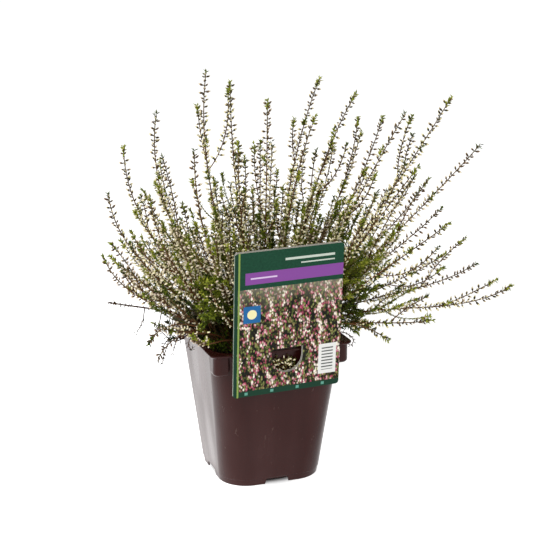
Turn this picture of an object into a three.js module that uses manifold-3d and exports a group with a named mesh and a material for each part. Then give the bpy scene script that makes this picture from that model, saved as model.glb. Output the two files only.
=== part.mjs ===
// Potted heather: a square nursery pot, its soil, a folded card hooked over the rim, and the plant's
// leafy stems, each standing in a hole of its own in the soil.
// Millimetres, +Z up. X runs along the front wall, which carries the card and faces -Y.
// The model is built about the pot's axis and then shifted so that the origin is the middle of the
// whole object's box, on the surface that the pot stands on.

import * as THREE from "three";
import { mergeVertices } from "three/addons/utils/BufferGeometryUtils.js";
import Module from "manifold-3d";

// ---- Pot ----
const POT_HEIGHT = 111;
const RIM_SIDE = 110;
const RIM_CORNER = 6.5;
const RIM_THICKNESS = 1.5;
const BODY_TOP_SIDE = 103.2;
const BODY_TOP_CORNER = 17.8;
const BODY_FOOT_SIDE = 79.6;
const BODY_FOOT_CORNER = 22.4;
const WALL = 1.2;
const FLOOR_LEVEL = 6; // underside of the floor above the surface
const FLOOR_THICKNESS = 1.5;
const FOOT_BAND = 5; // height of the foot, which is set in a little from the wall
const FOOT_INSET = 0.5;
const FOOT_GAP_WIDTH = 21; // gap between two feet, in the middle of each side
const FOOT_GAP_HEIGHT = 4.2;
const FOOT_GAP_SLANT = 2;
const DRAIN_RADIUS = 4.5;
const DRAIN_SPACING = 21;
const CORNER_STEPS = 5;

// ---- Blocks under the rim, one at each corner of the pot ----
const LUG_SIDE = 105;
const LUG_WIDTH = 10.5;
const LUG_HEIGHT = 15;
const LUG_CORNER = 5;
const LUG_CHAMFER = 3;

// ---- Soil ----
const SOIL_TOP = 99;
const SOIL_GAP = 0.35;
const SOIL_RELIEF = 1.3;
const SOIL_GRID = 10;
const HOLE_DEPTH = 9;
const HOLE_RADIUS = 2.2;
const HOLE_SIDES = 5;

// ---- Card ----
const CARD_WIDTH = 83;
const CARD_HEIGHT = 112;
const CARD_THICKNESS = 0.6;
const CARD_FOLD_RADIUS = 1.3;
const CARD_BACK_SHORTER = 1.5;
const CARD_CORNER = 2.5;
const CARD_BELOW_HINGE = 35; // how far the card reaches below its tongue's hinge
const CARD_LEAN = 0.11; // radians, top towards the front, as the pot's wall leans
const CARD_TURN = 0.025;
const CARD_ROLL = -0.017;
const CARD_PLACE = new THREE.Vector3(1, -58.1, 114.2); // middle of the hinge
const TONGUE_WIDTH = 24;
const TONGUE_LENGTH = 19.5;
const TONGUE_PLAY = 0.6;
const TONGUE_BACK = 8.6; // from the card's middle plane to the tongue inside the pot
const TONGUE_DROP = 13;
const ARC_STEPS = 8;

// ---- Stems ----
const SEED = 4;
const STEM_RADIUS = 1.4; // woody foot of a stem
const TWIG_RADIUS = 1.15; // stem among the buds
const BUD_REACH = 4.4; // from the stem's axis to a bud's tip
const BUD_LIFT = 2.3; // a bud's tip points up along the stem
const BUD_PITCH = 5; // from one pair of buds to the next
const BUD_TURN = 0.42; // radians that each pair is turned on from crossing the last
const BUD_START = 0.34; // share of a stem that is bare wood
const BUD_LEAST = 0.8; // smallest bud as a share of the largest
const FIRST_BUD = 0.6; // size of the lowest pair, which the next pairs grow out of
const FIRST_BUD_GROWTH = 0.2;
const TIP_BUD = 0.45;
const TIP_TAPER = 14;
const TIP_RADIUS = 0.6;
const WOOD_STEP = 22;
const ROOT_LIMIT = 37; // from the pot's axis to the root of a stem that leans right over
const ROOT_CROWDING = 0.7;
const ROOT_SPACING = 7.5;
const ROOT_ROUNDS = 60;
const SOIL_STANDOFF = 2; // a stem is straight to this far above the soil
const HOLE_FLOOR_GAP = 0.6;
const LEAST_RISE = 30; // carries the lowest shoots over the rim
const RISE_SHARE = 0.3; // of a stem's length, along which it keeps the slope that it leaves the soil at
const LEVEL_RISE = 30; // height that a stem which ends low still rises to
const CLIMB_SHARE = 0.55;
const AIM_SHARE = 0.36; // of a stem's length, along which it turns to its last slope
const FOOT_LENGTH = HOLE_DEPTH - HOLE_FLOOR_GAP + SOIL_STANDOFF;
const BRANCH_RADIUS = 0.95;
const BRANCH_BARE = 7;
const BRANCH_TRIES = 14;
const LENGTH_PER_BRANCH = 112;
const BRANCH_ANGLE = 0.8; // radians between a side shoot and its stem where it leaves it
const BRANCH_APART = 20; // length by which a side shoot is clear of its own stem
const BRANCH_PLACE = [0.3, 0.74]; // shares of the stem between which side shoots leave it
const BRANCH_LENGTH = [38, 72];
const BRANCH_PAST_TIP = 1.15; // longest side shoot as a share of the stem that is left above it
const BRANCH_OUTWARD = 0.45; // share of a side shoot that runs out, before it turns up
const BRANCH_UPTURN = 0.5;
const FILL_STEMS = 16;
const FILL_TRIES = 60;
const FILL_BEARING = 170; // degrees either way from the pot's right side
const FILL_REACH = [60, 122];
const FILL_HEIGHT = [205, 128]; // of the tips at the least and the most reach
const FILL_UNEVEN = 12;
const FILL_LEAVE = 62;
const FILL_AIM = [30, 75];
const CLEARANCE = 1.5; // kept between two shoots, beyond their radii
const HOLDER_CLEARANCE = 1; // kept from the rim and the card
const SAMPLE_STEP = 4;
const WOOD_COLOUR = 0x6b4a35;

// Where each long stem's tip is, x and y from the pot's axis and z above the surface, then the slopes
// that the stem leaves the soil with and that its tip points along, in degrees above level.
const LONG_STEMS = [
  [-33, 22, 307, 75, 98],
  [-9, 40, 294, 80, 90],
  [-27, -33, 262, 78, 92],
  [1, -16, 288, 86, 90],
  [27, 75, 242, 70, 82],
  [-73, 16, 278, 58, 100],
  [-56, 73, 232, 60, 86],
  [-88, 58, 247, 50, 92],
  [-109, 23, 220, 50, 86],
  [-90, -26, 226, 55, 86],
  [-99, 68, 160, 52, 46],
  [-118, 5, 177, 52, 74],
  [-95, -29, 117, 62, -62],
  [-84, -13, 98, 82, -78],
  [-59, -32, 258, 64, 92],
  [-13, 68, 215, 70, 86],
  [51, 8, 299, 80, 66],
  [32, -33, 278, 80, 68],
  [69, -19, 290, 74, 60],
  [80, 51, 238, 62, 76],
  [94, 35, 263, 60, 84],
  [102, 6, 267, 62, 72],
  [95, -50, 279, 62, 61],
  [137, -39, 287, 56, 60],
  [89, -85, 246, 56, 55],
  [151, -60, 254, 52, 50],
  [145, 12, 215, 50, 54],
  [148, -6, 195, 52, 44],
  [113, -89, 204, 52, 40],
  [138, -34, 166, 54, 36],
  [171, -24, 153, 56, 32],
  [180, -65, 145, 60, 34],
  [115, -63, 124, 62, 14],
  [74, -74, 116, 66, -34],
];

// A withered twig that lies out over the rim with no buds on it.
const DRY_TWIG = [-110, 40, 132, 62, 12];

// ---- Small tools ----
const wasm = await Module();
wasm.setup();

const vector = (x, y, z) => new THREE.Vector3(x, y, z);
const radians = THREE.MathUtils.degToRad;
const mix = THREE.MathUtils.lerp;

// Mulberry32: the same draws on every run.
function makeRandom(seed) {
  let state = seed >>> 0;
  return () => {
    state = (state + 0x6d2b79f5) >>> 0;
    let t = state;
    t = Math.imul(t ^ (t >>> 15), t | 1);
    t ^= t + Math.imul(t ^ (t >>> 7), t | 61);
    return ((t ^ (t >>> 14)) >>> 0) / 4294967296;
  };
}

const random = makeRandom(SEED);
const between = (low, high) => low + (high - low) * random();

function toSolid(geometry) {
  const bare = geometry.index ? geometry.toNonIndexed() : geometry.clone();
  bare.deleteAttribute("normal");
  bare.deleteAttribute("uv");
  const merged = mergeVertices(bare, 1e-4);
  return new wasm.Manifold(new wasm.Mesh({
    numProp: 3,
    vertProperties: new Float32Array(merged.attributes.position.array),
    triVerts: new Uint32Array(merged.index.array),
  }));
}

function toGeometry(solid) {
  const mesh = solid.getMesh();
  const geometry = new THREE.BufferGeometry();
  geometry.setAttribute("position", new THREE.BufferAttribute(mesh.vertProperties, 3));
  geometry.setIndex(new THREE.BufferAttribute(mesh.triVerts, 1));
  geometry.computeVertexNormals();
  return geometry;
}

function fromTriangles(points, triangles) {
  const geometry = new THREE.BufferGeometry();
  geometry.setFromPoints(points);
  geometry.setIndex(triangles.flat());
  return geometry;
}

// A closed solid through rings of points that run anticlockwise seen from above, lowest ring first.
function loft(rings) {
  const count = rings[0].length;
  const points = rings.flat();
  const triangles = [];
  for (let ring = 0; ring + 1 < rings.length; ring += 1) {
    for (let k = 0; k < count; k += 1) {
      const a = ring * count + k;
      const b = ring * count + ((k + 1) % count);
      triangles.push([a, b, b + count], [a, b + count, a + count]);
    }
  }
  const top = (rings.length - 1) * count;
  for (let k = 1; k + 1 < count; k += 1) {
    triangles.push([0, k + 1, k], [top, top + k, top + k + 1]);
  }
  return fromTriangles(points, triangles);
}

function roundedSquare(side, corner, z) {
  const ring = [];
  for (let quarter = 0; quarter < 4; quarter += 1) {
    const turn = (quarter * Math.PI) / 2;
    const centre = vector(side / 2 - corner, side / 2 - corner, z).applyAxisAngle(vector(0, 0, 1), turn);
    for (let step = 0; step <= CORNER_STEPS; step += 1) {
      const angle = turn + (step / CORNER_STEPS) * (Math.PI / 2);
      ring.push(vector(centre.x + corner * Math.cos(angle), centre.y + corner * Math.sin(angle), z));
    }
  }
  return ring;
}

// ---- Pot ----
// The tapered body's section at a height, drawn in by an inset.
function bodyRing(z, inset) {
  const share = z / POT_HEIGHT;
  const side = mix(BODY_FOOT_SIDE, BODY_TOP_SIDE, share) - 2 * inset;
  const corner = mix(BODY_FOOT_CORNER, BODY_TOP_CORNER, share) - inset;
  return roundedSquare(side, corner, z);
}

// A block at each corner under the rim, filling the square corner outside the round one.
function cornerLugs(body) {
  const top = POT_HEIGHT - RIM_THICKNESS / 2;
  const foot = POT_HEIGHT - RIM_THICKNESS - LUG_HEIGHT;
  const block = toSolid(loft([
    roundedSquare(LUG_SIDE - 2 * LUG_CHAMFER, LUG_CORNER, foot),
    roundedSquare(LUG_SIDE, LUG_CORNER, foot + LUG_CHAMFER),
    roundedSquare(LUG_SIDE, LUG_CORNER, top),
  ]));
  const cross = new THREE.BoxGeometry(LUG_SIDE - 2 * LUG_WIDTH, 2 * LUG_SIDE, 4 * LUG_HEIGHT);
  cross.translate(0, 0, top);
  const along = toSolid(cross);
  const across = toSolid(cross.clone().rotateZ(Math.PI / 2));
  return block.subtract(along).subtract(across).add(body);
}

function footGap() {
  const low = FOOT_GAP_WIDTH / 2;
  const high = low - FOOT_GAP_SLANT;
  const outline = new THREE.Shape([
    new THREE.Vector2(-low, -1),
    new THREE.Vector2(low, -1),
    new THREE.Vector2(high, FOOT_GAP_HEIGHT),
    new THREE.Vector2(-high, FOOT_GAP_HEIGHT),
  ]);
  const bar = new THREE.ExtrudeGeometry(outline, { depth: RIM_SIDE, bevelEnabled: false });
  return bar.translate(0, 0, -RIM_SIDE / 2).rotateX(Math.PI / 2);
}

function drainHole(x, y) {
  const hole = new THREE.CylinderGeometry(DRAIN_RADIUS, DRAIN_RADIUS, 4 * FLOOR_THICKNESS, ARC_STEPS);
  return toSolid(hole.rotateX(Math.PI / 2).translate(x, y, FLOOR_LEVEL + FLOOR_THICKNESS / 2));
}

function makePot() {
  const floorTop = FLOOR_LEVEL + FLOOR_THICKNESS;
  const outside = toSolid(loft([
    bodyRing(0, FOOT_INSET),
    bodyRing(FOOT_BAND, FOOT_INSET),
    bodyRing(FOOT_BAND, 0),
    bodyRing(POT_HEIGHT, 0),
  ]));
  const flange = toSolid(loft([
    roundedSquare(RIM_SIDE, RIM_CORNER, POT_HEIGHT - RIM_THICKNESS),
    roundedSquare(RIM_SIDE, RIM_CORNER, POT_HEIGHT),
  ]));
  const room = toSolid(loft([bodyRing(floorTop, WALL), bodyRing(POT_HEIGHT + 1, WALL)]));
  const underside = toSolid(loft([bodyRing(-1, WALL + FOOT_INSET), bodyRing(FLOOR_LEVEL, WALL + FOOT_INSET)]));
  let pot = cornerLugs(outside).add(flange).subtract(room).subtract(underside);
  pot = pot.subtract(toSolid(footGap())).subtract(toSolid(footGap().rotateZ(Math.PI / 2)));
  pot = pot.subtract(drainHole(0, 0));
  for (const x of [-DRAIN_SPACING, DRAIN_SPACING]) {
    for (const y of [-DRAIN_SPACING, DRAIN_SPACING]) {
      pot = pot.subtract(drainHole(x, y));
    }
  }
  return toGeometry(pot);
}

// ---- Soil ----
function soilLevel(x, y) {
  return SOIL_TOP + SOIL_RELIEF * (Math.sin(0.19 * x + 0.6) * Math.cos(0.23 * y) + 0.4 * Math.sin(0.47 * x - 0.39 * y));
}

// A block with an uneven top, trimmed to the room inside the pot and drilled for the stems.
function makeSoil(stems) {
  const low = FLOOR_LEVEL + FLOOR_THICKNESS + SOIL_GAP;
  const block = new THREE.BoxGeometry(BODY_TOP_SIDE, BODY_TOP_SIDE, 1, SOIL_GRID, SOIL_GRID, 1);
  const place = block.attributes.position;
  for (let i = 0; i < place.count; i += 1) {
    const top = place.getZ(i) > 0;
    place.setZ(i, top ? soilLevel(place.getX(i), place.getY(i)) : 0);
  }
  const inset = WALL + SOIL_GAP;
  const room = toSolid(loft([bodyRing(low, inset), bodyRing(POT_HEIGHT, inset)]));
  let soil = toSolid(block).intersect(room);
  const drill = new THREE.CylinderGeometry(HOLE_RADIUS, HOLE_RADIUS, 2 * HOLE_DEPTH, HOLE_SIDES);
  drill.rotateX(Math.PI / 2);
  const holes = stems.map((stem) => toSolid(drill.clone().translate(stem.root.x, stem.root.y, SOIL_TOP)));
  soil = soil.subtract(wasm.Manifold.union(holes));
  return toGeometry(soil);
}

// ---- Card ----
// Straight across the top and round below, as the tongue is cut out of the card.
function tongueOutline(width, length) {
  const radius = width / 2;
  const outline = new THREE.Shape();
  outline.moveTo(radius, 0);
  outline.lineTo(-radius, 0);
  outline.lineTo(-radius, radius - length);
  outline.absarc(0, radius - length, radius, Math.PI, 2 * Math.PI, false);
  return outline;
}

function throughCard(outline, depth) {
  const block = new THREE.ExtrudeGeometry(outline, { depth: 2 * depth, bevelEnabled: false, curveSegments: ARC_STEPS });
  return toSolid(block.translate(0, 0, -depth).rotateX(Math.PI / 2));
}

// The card seen from above: two leaves joined by a round fold at the left.
function foldOutline() {
  const left = -CARD_WIDTH / 2 + CARD_FOLD_RADIUS;
  const right = CARD_WIDTH / 2;
  const inner = CARD_FOLD_RADIUS - CARD_THICKNESS;
  const outline = new THREE.Shape();
  outline.moveTo(right, -CARD_FOLD_RADIUS);
  outline.lineTo(right, -inner);
  outline.lineTo(left, -inner);
  outline.absarc(left, 0, inner, -Math.PI / 2, Math.PI / 2, true);
  outline.lineTo(right - CARD_BACK_SHORTER, inner);
  outline.lineTo(right - CARD_BACK_SHORTER, CARD_FOLD_RADIUS);
  outline.lineTo(left, CARD_FOLD_RADIUS);
  outline.absarc(left, 0, CARD_FOLD_RADIUS, Math.PI / 2, (3 * Math.PI) / 2, false);
  return outline;
}

// The card's outline seen from the front, with a small radius at each corner.
function cardOutline() {
  const x = CARD_WIDTH / 2;
  const low = -CARD_BELOW_HINGE;
  const high = CARD_HEIGHT - CARD_BELOW_HINGE;
  const outline = new THREE.Shape();
  outline.absarc(x - CARD_CORNER, high - CARD_CORNER, CARD_CORNER, 0, Math.PI / 2, false);
  outline.absarc(-x + CARD_CORNER, high - CARD_CORNER, CARD_CORNER, Math.PI / 2, Math.PI, false);
  outline.absarc(-x + CARD_CORNER, low + CARD_CORNER, CARD_CORNER, Math.PI, 1.5 * Math.PI, false);
  outline.absarc(x - CARD_CORNER, low + CARD_CORNER, CARD_CORNER, 1.5 * Math.PI, 2 * Math.PI, false);
  return outline;
}

// The tongue runs back from the front leaf over the rim and then down inside the pot.
function makeTongue() {
  const front = -CARD_FOLD_RADIUS;
  const back = TONGUE_BACK;
  const thick = CARD_THICKNESS;
  const profile = new THREE.Shape([
    new THREE.Vector2(front, 0),
    new THREE.Vector2(back - thick, 0),
    new THREE.Vector2(back - thick, -TONGUE_DROP),
    new THREE.Vector2(back, -TONGUE_DROP),
    new THREE.Vector2(back, thick),
    new THREE.Vector2(front, thick),
  ]);
  const width = TONGUE_WIDTH - 2 * TONGUE_PLAY;
  const strip = new THREE.ExtrudeGeometry(profile, { depth: width, bevelEnabled: false });
  strip.translate(0, 0, -width / 2);
  strip.applyMatrix4(new THREE.Matrix4().makeBasis(vector(0, 1, 0), vector(0, 0, 1), vector(1, 0, 0)));
  const rounded = new THREE.ExtrudeGeometry(tongueOutline(width, TONGUE_DROP + thick), {
    depth: 4 * back,
    bevelEnabled: false,
    curveSegments: ARC_STEPS,
  });
  rounded.translate(0, thick, -2 * back).rotateX(Math.PI / 2);
  return toSolid(strip).intersect(toSolid(rounded));
}

function makeCard() {
  const leaves = new THREE.ExtrudeGeometry(foldOutline(), {
    depth: CARD_HEIGHT,
    bevelEnabled: false,
    curveSegments: 4,
  });
  leaves.translate(0, 0, -CARD_BELOW_HINGE);
  const outline = new THREE.ExtrudeGeometry(cardOutline(), {
    depth: 8 * CARD_FOLD_RADIUS,
    bevelEnabled: false,
    curveSegments: 3,
  });
  outline.translate(0, 0, -4 * CARD_FOLD_RADIUS).rotateX(Math.PI / 2);
  const card = toSolid(leaves)
    .intersect(toSolid(outline))
    .subtract(throughCard(tongueOutline(TONGUE_WIDTH, TONGUE_LENGTH), 3 * CARD_FOLD_RADIUS))
    .add(makeTongue());
  return toGeometry(card);
}

// ---- Where the shoots run ----
// A main stem: straight up out of its hole, then one cubic arc to the tip.
function stemPath(root, tip, leave, aim) {
  const ground = vector(root.x, root.y, SOIL_TOP + SOIL_STANDOFF - FOOT_LENGTH);
  const start = vector(root.x, root.y, SOIL_TOP + SOIL_STANDOFF);
  const out = vector(tip.x - root.x, tip.y - root.y, 0).normalize();
  const length = start.distanceTo(tip);
  const along = (slope, distance) =>
    out.clone().multiplyScalar(Math.cos(radians(slope)) * distance).setZ(Math.sin(radians(slope)) * distance);
  const climb = Math.max(tip.z - start.z, 0);
  const steepest = (CLIMB_SHARE * climb + LEVEL_RISE) / Math.sin(radians(leave));
  const rise = Math.min(Math.max(RISE_SHARE * length, LEAST_RISE), steepest);
  const path = new THREE.CurvePath();
  path.add(new THREE.LineCurve3(ground, start));
  path.add(new THREE.CubicBezierCurve3(
    start,
    start.clone().add(along(leave, rise)),
    tip.clone().sub(along(aim, AIM_SHARE * length)),
    tip,
  ));
  return path;
}

// A side shoot: leaves its stem at an angle and bends round to run up beside it.
function branchPath(stem, at, turn, length) {
  const share = at / stem.path.getLength();
  const start = stem.path.getPoint(share);
  const along = stem.path.getTangent(share);
  const side = vector(0, 0, 1).cross(along);
  if (side.length() < 0.05) {
    side.set(1, 0, 0);
  }
  side.normalize().applyAxisAngle(along, turn);
  const leave = along.clone().multiplyScalar(Math.cos(BRANCH_ANGLE)).addScaledVector(side, Math.sin(BRANCH_ANGLE));
  const bend = start.clone().addScaledVector(leave, BRANCH_OUTWARD * length);
  const upward = along.clone().add(vector(0, 0, BRANCH_UPTURN)).normalize();
  const tip = bend.clone().addScaledVector(upward, (1 - BRANCH_OUTWARD) * length);
  const path = new THREE.CurvePath();
  path.add(new THREE.QuadraticBezierCurve3(start, bend, tip));
  return path;
}

// Points along a shoot with the radius that it takes up there.
function samples(shoot, from) {
  const length = shoot.path.getLength();
  const count = Math.ceil((length - from) / SAMPLE_STEP);
  const list = [];
  for (let i = 0; i <= count; i += 1) {
    const at = from + ((length - from) * i) / count;
    const place = shoot.path.getPoint(Math.min(at / length, 1));
    list.push({ place, radius: at < shoot.budsFrom ? STEM_RADIUS : BUD_REACH });
  }
  return list;
}

function touches(a, b) {
  return a.place.distanceTo(b.place) < a.radius + b.radius + CLEARANCE;
}

// The pot's wall and rim, and the card in front of the plant.
function hitsHolder({ place, radius }) {
  const keep = radius + HOLDER_CLEARANCE;
  const reach = Math.max(Math.abs(place.x), Math.abs(place.y));
  const overWall = reach > BODY_TOP_SIDE / 2 - WALL - keep && reach < RIM_SIDE / 2 + keep;
  const hitsRim = overWall && place.z < POT_HEIGHT + keep;
  const cardTop = CARD_PLACE.z + CARD_HEIGHT - CARD_BELOW_HINGE;
  const cardBack = CARD_PLACE.y - CARD_LEAN * (place.z - CARD_PLACE.z) + CARD_FOLD_RADIUS;
  const overCard = Math.abs(place.x - CARD_PLACE.x) < CARD_WIDTH / 2 + keep;
  const hitsCard = overCard && place.z > POT_HEIGHT && place.z < cardTop + keep && place.y < cardBack + keep;
  return hitsRim || hitsCard;
}

function isClear(list, taken) {
  return !list.some((sample) => hitsHolder(sample) || taken.some((other) => touches(sample, other)));
}

// Pushes roots that stand too close together apart, a little at a time.
function spreadRoots(stems) {
  for (let round = 0; round < ROOT_ROUNDS; round += 1) {
    for (const one of stems) {
      for (const other of stems) {
        const gap = one.root.distanceTo(other.root);
        if (one !== other && gap < ROOT_SPACING) {
          const push = one.root.clone().sub(other.root).multiplyScalar((0.5 * (ROOT_SPACING - gap)) / Math.max(gap, 0.1));
          one.root.add(push);
          other.root.sub(push);
        }
      }
    }
    stems.forEach((stem) => stem.root.clampLength(0, ROOT_LIMIT));
  }
}

// The more a stem leans, the further out it stands, so that low stems pass outside the high ones.
function plan(x, y, z, leave, aim) {
  const tip = vector(x, y, z);
  const lean = Math.atan2(Math.hypot(x, y), z - SOIL_TOP) / (Math.PI / 2);
  const root = vector(x, y, 0).setLength(ROOT_LIMIT * Math.min(1, lean ** ROOT_CROWDING));
  return { tip, root, leave, aim };
}

function grow(stem) {
  stem.path = stemPath(stem.root, stem.tip, stem.leave, stem.aim);
  stem.budsFrom = BUD_START * stem.path.getLength();
  stem.branches = [];
  return stem;
}

// Shorter stems that fill the dome of the plant where the long ones leave it open.
function fillStems(taken) {
  const list = [];
  for (let k = 0; k < FILL_STEMS; k += 1) {
    for (let tries = 0; tries < FILL_TRIES; tries += 1) {
      const bearing = radians(between(-FILL_BEARING, FILL_BEARING));
      const reach = between(...FILL_REACH);
      const share = THREE.MathUtils.inverseLerp(...FILL_REACH, reach);
      const height = mix(...FILL_HEIGHT, share) + between(-FILL_UNEVEN, FILL_UNEVEN);
      const aim = between(...FILL_AIM);
      const stem = grow(plan(reach * Math.cos(bearing), reach * Math.sin(bearing), height, FILL_LEAVE, aim));
      const places = samples(stem, 0);
      if (isClear(places, taken)) {
        list.push(stem);
        taken.push(...places);
        break;
      }
    }
  }
  return list;
}

// Side shoots of a stem, each at the first place drawn that keeps it clear of everything else.
function growBranches(stem, wanted, taken) {
  const length = stem.path.getLength();
  for (let k = 0; k < wanted; k += 1) {
    for (let tries = 0; tries < BRANCH_TRIES; tries += 1) {
      const at = length * between(...BRANCH_PLACE);
      const turn = between(0, 2 * Math.PI);
      const reach = Math.min(between(...BRANCH_LENGTH), BRANCH_PAST_TIP * (length - at));
      const branch = { path: branchPath(stem, at, turn, reach), budsFrom: BRANCH_BARE };
      const places = samples(branch, BRANCH_APART);
      if (isClear(places, taken)) {
        stem.branches.push(branch);
        taken.push(...samples(branch, 0));
        break;
      }
    }
  }
}

// ---- The shoots' solids ----
// A level direction across a shoot, the same all the way up it, so that its sections don't twist.
function acrossPath(path) {
  return vector(0, 0, 1).cross(path.getPoint(1).sub(path.getPoint(0))).normalize();
}

// A square section at a place on a path. Among the buds two opposite points of it reach out and up,
// and the next section's other two, so that the buds stand in crossed pairs.
function section(path, at, angle, radius, reach, parity) {
  const share = Math.min(at / path.getLength(), 1);
  const centre = path.getPoint(share);
  const along = path.getTangent(share);
  const side = acrossPath(path).projectOnPlane(along).normalize();
  const ring = [];
  for (let k = 0; k < 4; k += 1) {
    const out = side.clone().applyAxisAngle(along, angle + (k * Math.PI) / 2);
    const isBud = reach > 0 && (k + parity) % 2 === 0;
    const point = centre.clone().addScaledVector(out, isBud ? reach : radius);
    ring.push(isBud ? point.addScaledVector(along, BUD_LIFT) : point);
  }
  return ring;
}

// A shoot as one closed surface: its foot, bare wood, then buds, then a pointed tip.
function shootSolid(path, foot, budsFrom, footRadius) {
  const length = path.getLength();
  const angle = between(0, Math.PI);
  const rings = [section(path, 0, angle, footRadius, 0, 0)];
  const woodSteps = Math.max(1, Math.round((budsFrom - foot) / WOOD_STEP));
  for (let i = 0; i < woodSteps; i += 1) {
    const share = i / woodSteps;
    rings.push(section(path, mix(foot, budsFrom, share), angle, mix(footRadius, TWIG_RADIUS, share), 0, 0));
  }
  const woodRings = rings.length;
  const pairs = Math.round((length - budsFrom) / BUD_PITCH);
  for (let j = 0; j < pairs; j += 1) {
    const at = mix(budsFrom, length, j / pairs);
    const size = Math.min(1, TIP_BUD + (length - at) / TIP_TAPER, FIRST_BUD + j * FIRST_BUD_GROWTH);
    const reach = BUD_REACH * size * between(BUD_LEAST, 1);
    rings.push(section(path, at, angle + j * BUD_TURN, TWIG_RADIUS, reach, j % 2));
  }
  return closeShoot(rings, path.getPoint(1), woodRings);
}

// Joins the sections. Each four-sided stretch is cut between its two inner points, so that every bud
// is a small pyramid of its own.
function closeShoot(rings, tip, woodRings) {
  const points = rings.flat();
  const triangles = [[0, 2, 1], [0, 3, 2]];
  for (let ring = 0; ring + 1 < rings.length; ring += 1) {
    for (let k = 0; k < 4; k += 1) {
      const a = 4 * ring + k;
      const b = 4 * ring + ((k + 1) % 4);
      const startsAtBud = ring < woodRings || (k + ring - woodRings) % 2 === 0;
      if (startsAtBud) {
        triangles.push([a, b, a + 4], [b, b + 4, a + 4]);
      } else {
        triangles.push([a, b, b + 4], [a, b + 4, a + 4]);
      }
    }
  }
  const last = 4 * (rings.length - 1);
  points.push(tip);
  for (let k = 0; k < 4; k += 1) {
    triangles.push([last + k, last + ((k + 1) % 4), points.length - 1]);
  }
  return toSolid(fromTriangles(points, triangles));
}

function makeStem(stem) {
  let solid = shootSolid(stem.path, FOOT_LENGTH, stem.budsFrom, STEM_RADIUS);
  for (const branch of stem.branches) {
    solid = solid.add(shootSolid(branch.path, BRANCH_BARE / 2, BRANCH_BARE, BRANCH_RADIUS));
  }
  return toGeometry(solid);
}

// The withered twig is bare wood to its end.
function makeTwig(path) {
  const length = path.getLength();
  const steps = Math.round(length / (WOOD_STEP / 2));
  const rings = [section(path, 0, 0, STEM_RADIUS, 0, 0)];
  for (let i = 0; i < steps; i += 1) {
    const radius = mix(STEM_RADIUS, TIP_RADIUS, i / steps);
    rings.push(section(path, mix(FOOT_LENGTH, length, i / steps), 0, radius, 0, 0));
  }
  return toGeometry(closeShoot(rings, path.getPoint(1), rings.length));
}

// ---- The whole object ----
const PLASTIC = { color: 0x47302d, roughness: 0.35, metalness: 0 };
const EARTH = { color: 0x2b211b, roughness: 0.95, metalness: 0 };
const PRINT = { color: 0x1f4a34, roughness: 0.3, metalness: 0 };
const FOLIAGE = { color: 0x9aa068, roughness: 0.7, metalness: 0 };
const WOOD = { color: WOOD_COLOUR, roughness: 0.8, metalness: 0 };

const group = new THREE.Group();
const plant = new THREE.Group();
const holder = new THREE.Group();
group.add(holder, plant);

function addMesh(parent, name, geometry, finish) {
  const mesh = new THREE.Mesh(geometry, new THREE.MeshStandardMaterial(finish));
  mesh.name = name;
  parent.add(mesh);
  return mesh;
}

const longStems = LONG_STEMS.map((row) => plan(...row));
const twig = plan(...DRY_TWIG);
spreadRoots([...longStems, twig]);
const taken = [...longStems, twig].flatMap((stem) => samples(grow(stem), 0));
const stems = [...longStems, ...fillStems(taken)];
stems.forEach((stem) => growBranches(stem, Math.floor(stem.path.getLength() / LENGTH_PER_BRANCH), taken));

addMesh(holder, "pot", makePot(), PLASTIC);
addMesh(holder, "soil", makeSoil([...stems, twig]), EARTH);
const card = addMesh(holder, "label_card", makeCard(), PRINT);
card.position.copy(CARD_PLACE);
card.rotation.set(CARD_LEAN, CARD_ROLL, CARD_TURN, "ZXY");
addMesh(plant, "dry_twig", makeTwig(twig.path), WOOD);
stems.forEach((stem, index) => {
  addMesh(plant, `heather_stem_${String(index + 1).padStart(2, "0")}`, makeStem(stem), FOLIAGE);
});

const box = new THREE.Box3().setFromObject(group, true);
const middle = box.getCenter(new THREE.Vector3());
group.position.set(-middle.x, -middle.y, -box.min.z);

export default group;
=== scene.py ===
import math

import bmesh
import bpy
import numpy as np
from mathutils import Matrix, Vector, noise


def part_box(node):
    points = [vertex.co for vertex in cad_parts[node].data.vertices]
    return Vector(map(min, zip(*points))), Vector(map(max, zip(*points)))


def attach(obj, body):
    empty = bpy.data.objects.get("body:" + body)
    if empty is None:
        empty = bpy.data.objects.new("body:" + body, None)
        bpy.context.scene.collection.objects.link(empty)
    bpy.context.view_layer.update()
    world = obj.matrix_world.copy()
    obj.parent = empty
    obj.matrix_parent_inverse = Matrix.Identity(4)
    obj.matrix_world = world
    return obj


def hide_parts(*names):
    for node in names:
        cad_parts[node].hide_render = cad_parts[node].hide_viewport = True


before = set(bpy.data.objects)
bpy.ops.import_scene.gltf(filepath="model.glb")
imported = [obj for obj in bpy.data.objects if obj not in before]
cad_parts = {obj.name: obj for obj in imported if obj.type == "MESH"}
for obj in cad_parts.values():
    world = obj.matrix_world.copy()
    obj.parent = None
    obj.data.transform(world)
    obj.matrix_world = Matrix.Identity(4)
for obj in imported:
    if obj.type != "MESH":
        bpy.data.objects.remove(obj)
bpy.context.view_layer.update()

# Potted heather. Sizes are in millimetres from the pot's axis, with X along the front wall, which
# faces -Y, and become metres in the frame's own place when a piece is made. The values named SMOOTH
# are the least angles, in degrees, at which two faces meet in a sharp edge.

POT_LOW, POT_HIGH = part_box("pot")
AXIS = np.array([(POT_LOW.x + POT_HIGH.x) / 2, (POT_LOW.y + POT_HIGH.y) / 2, 0.0])
MM = 0.001

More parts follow.
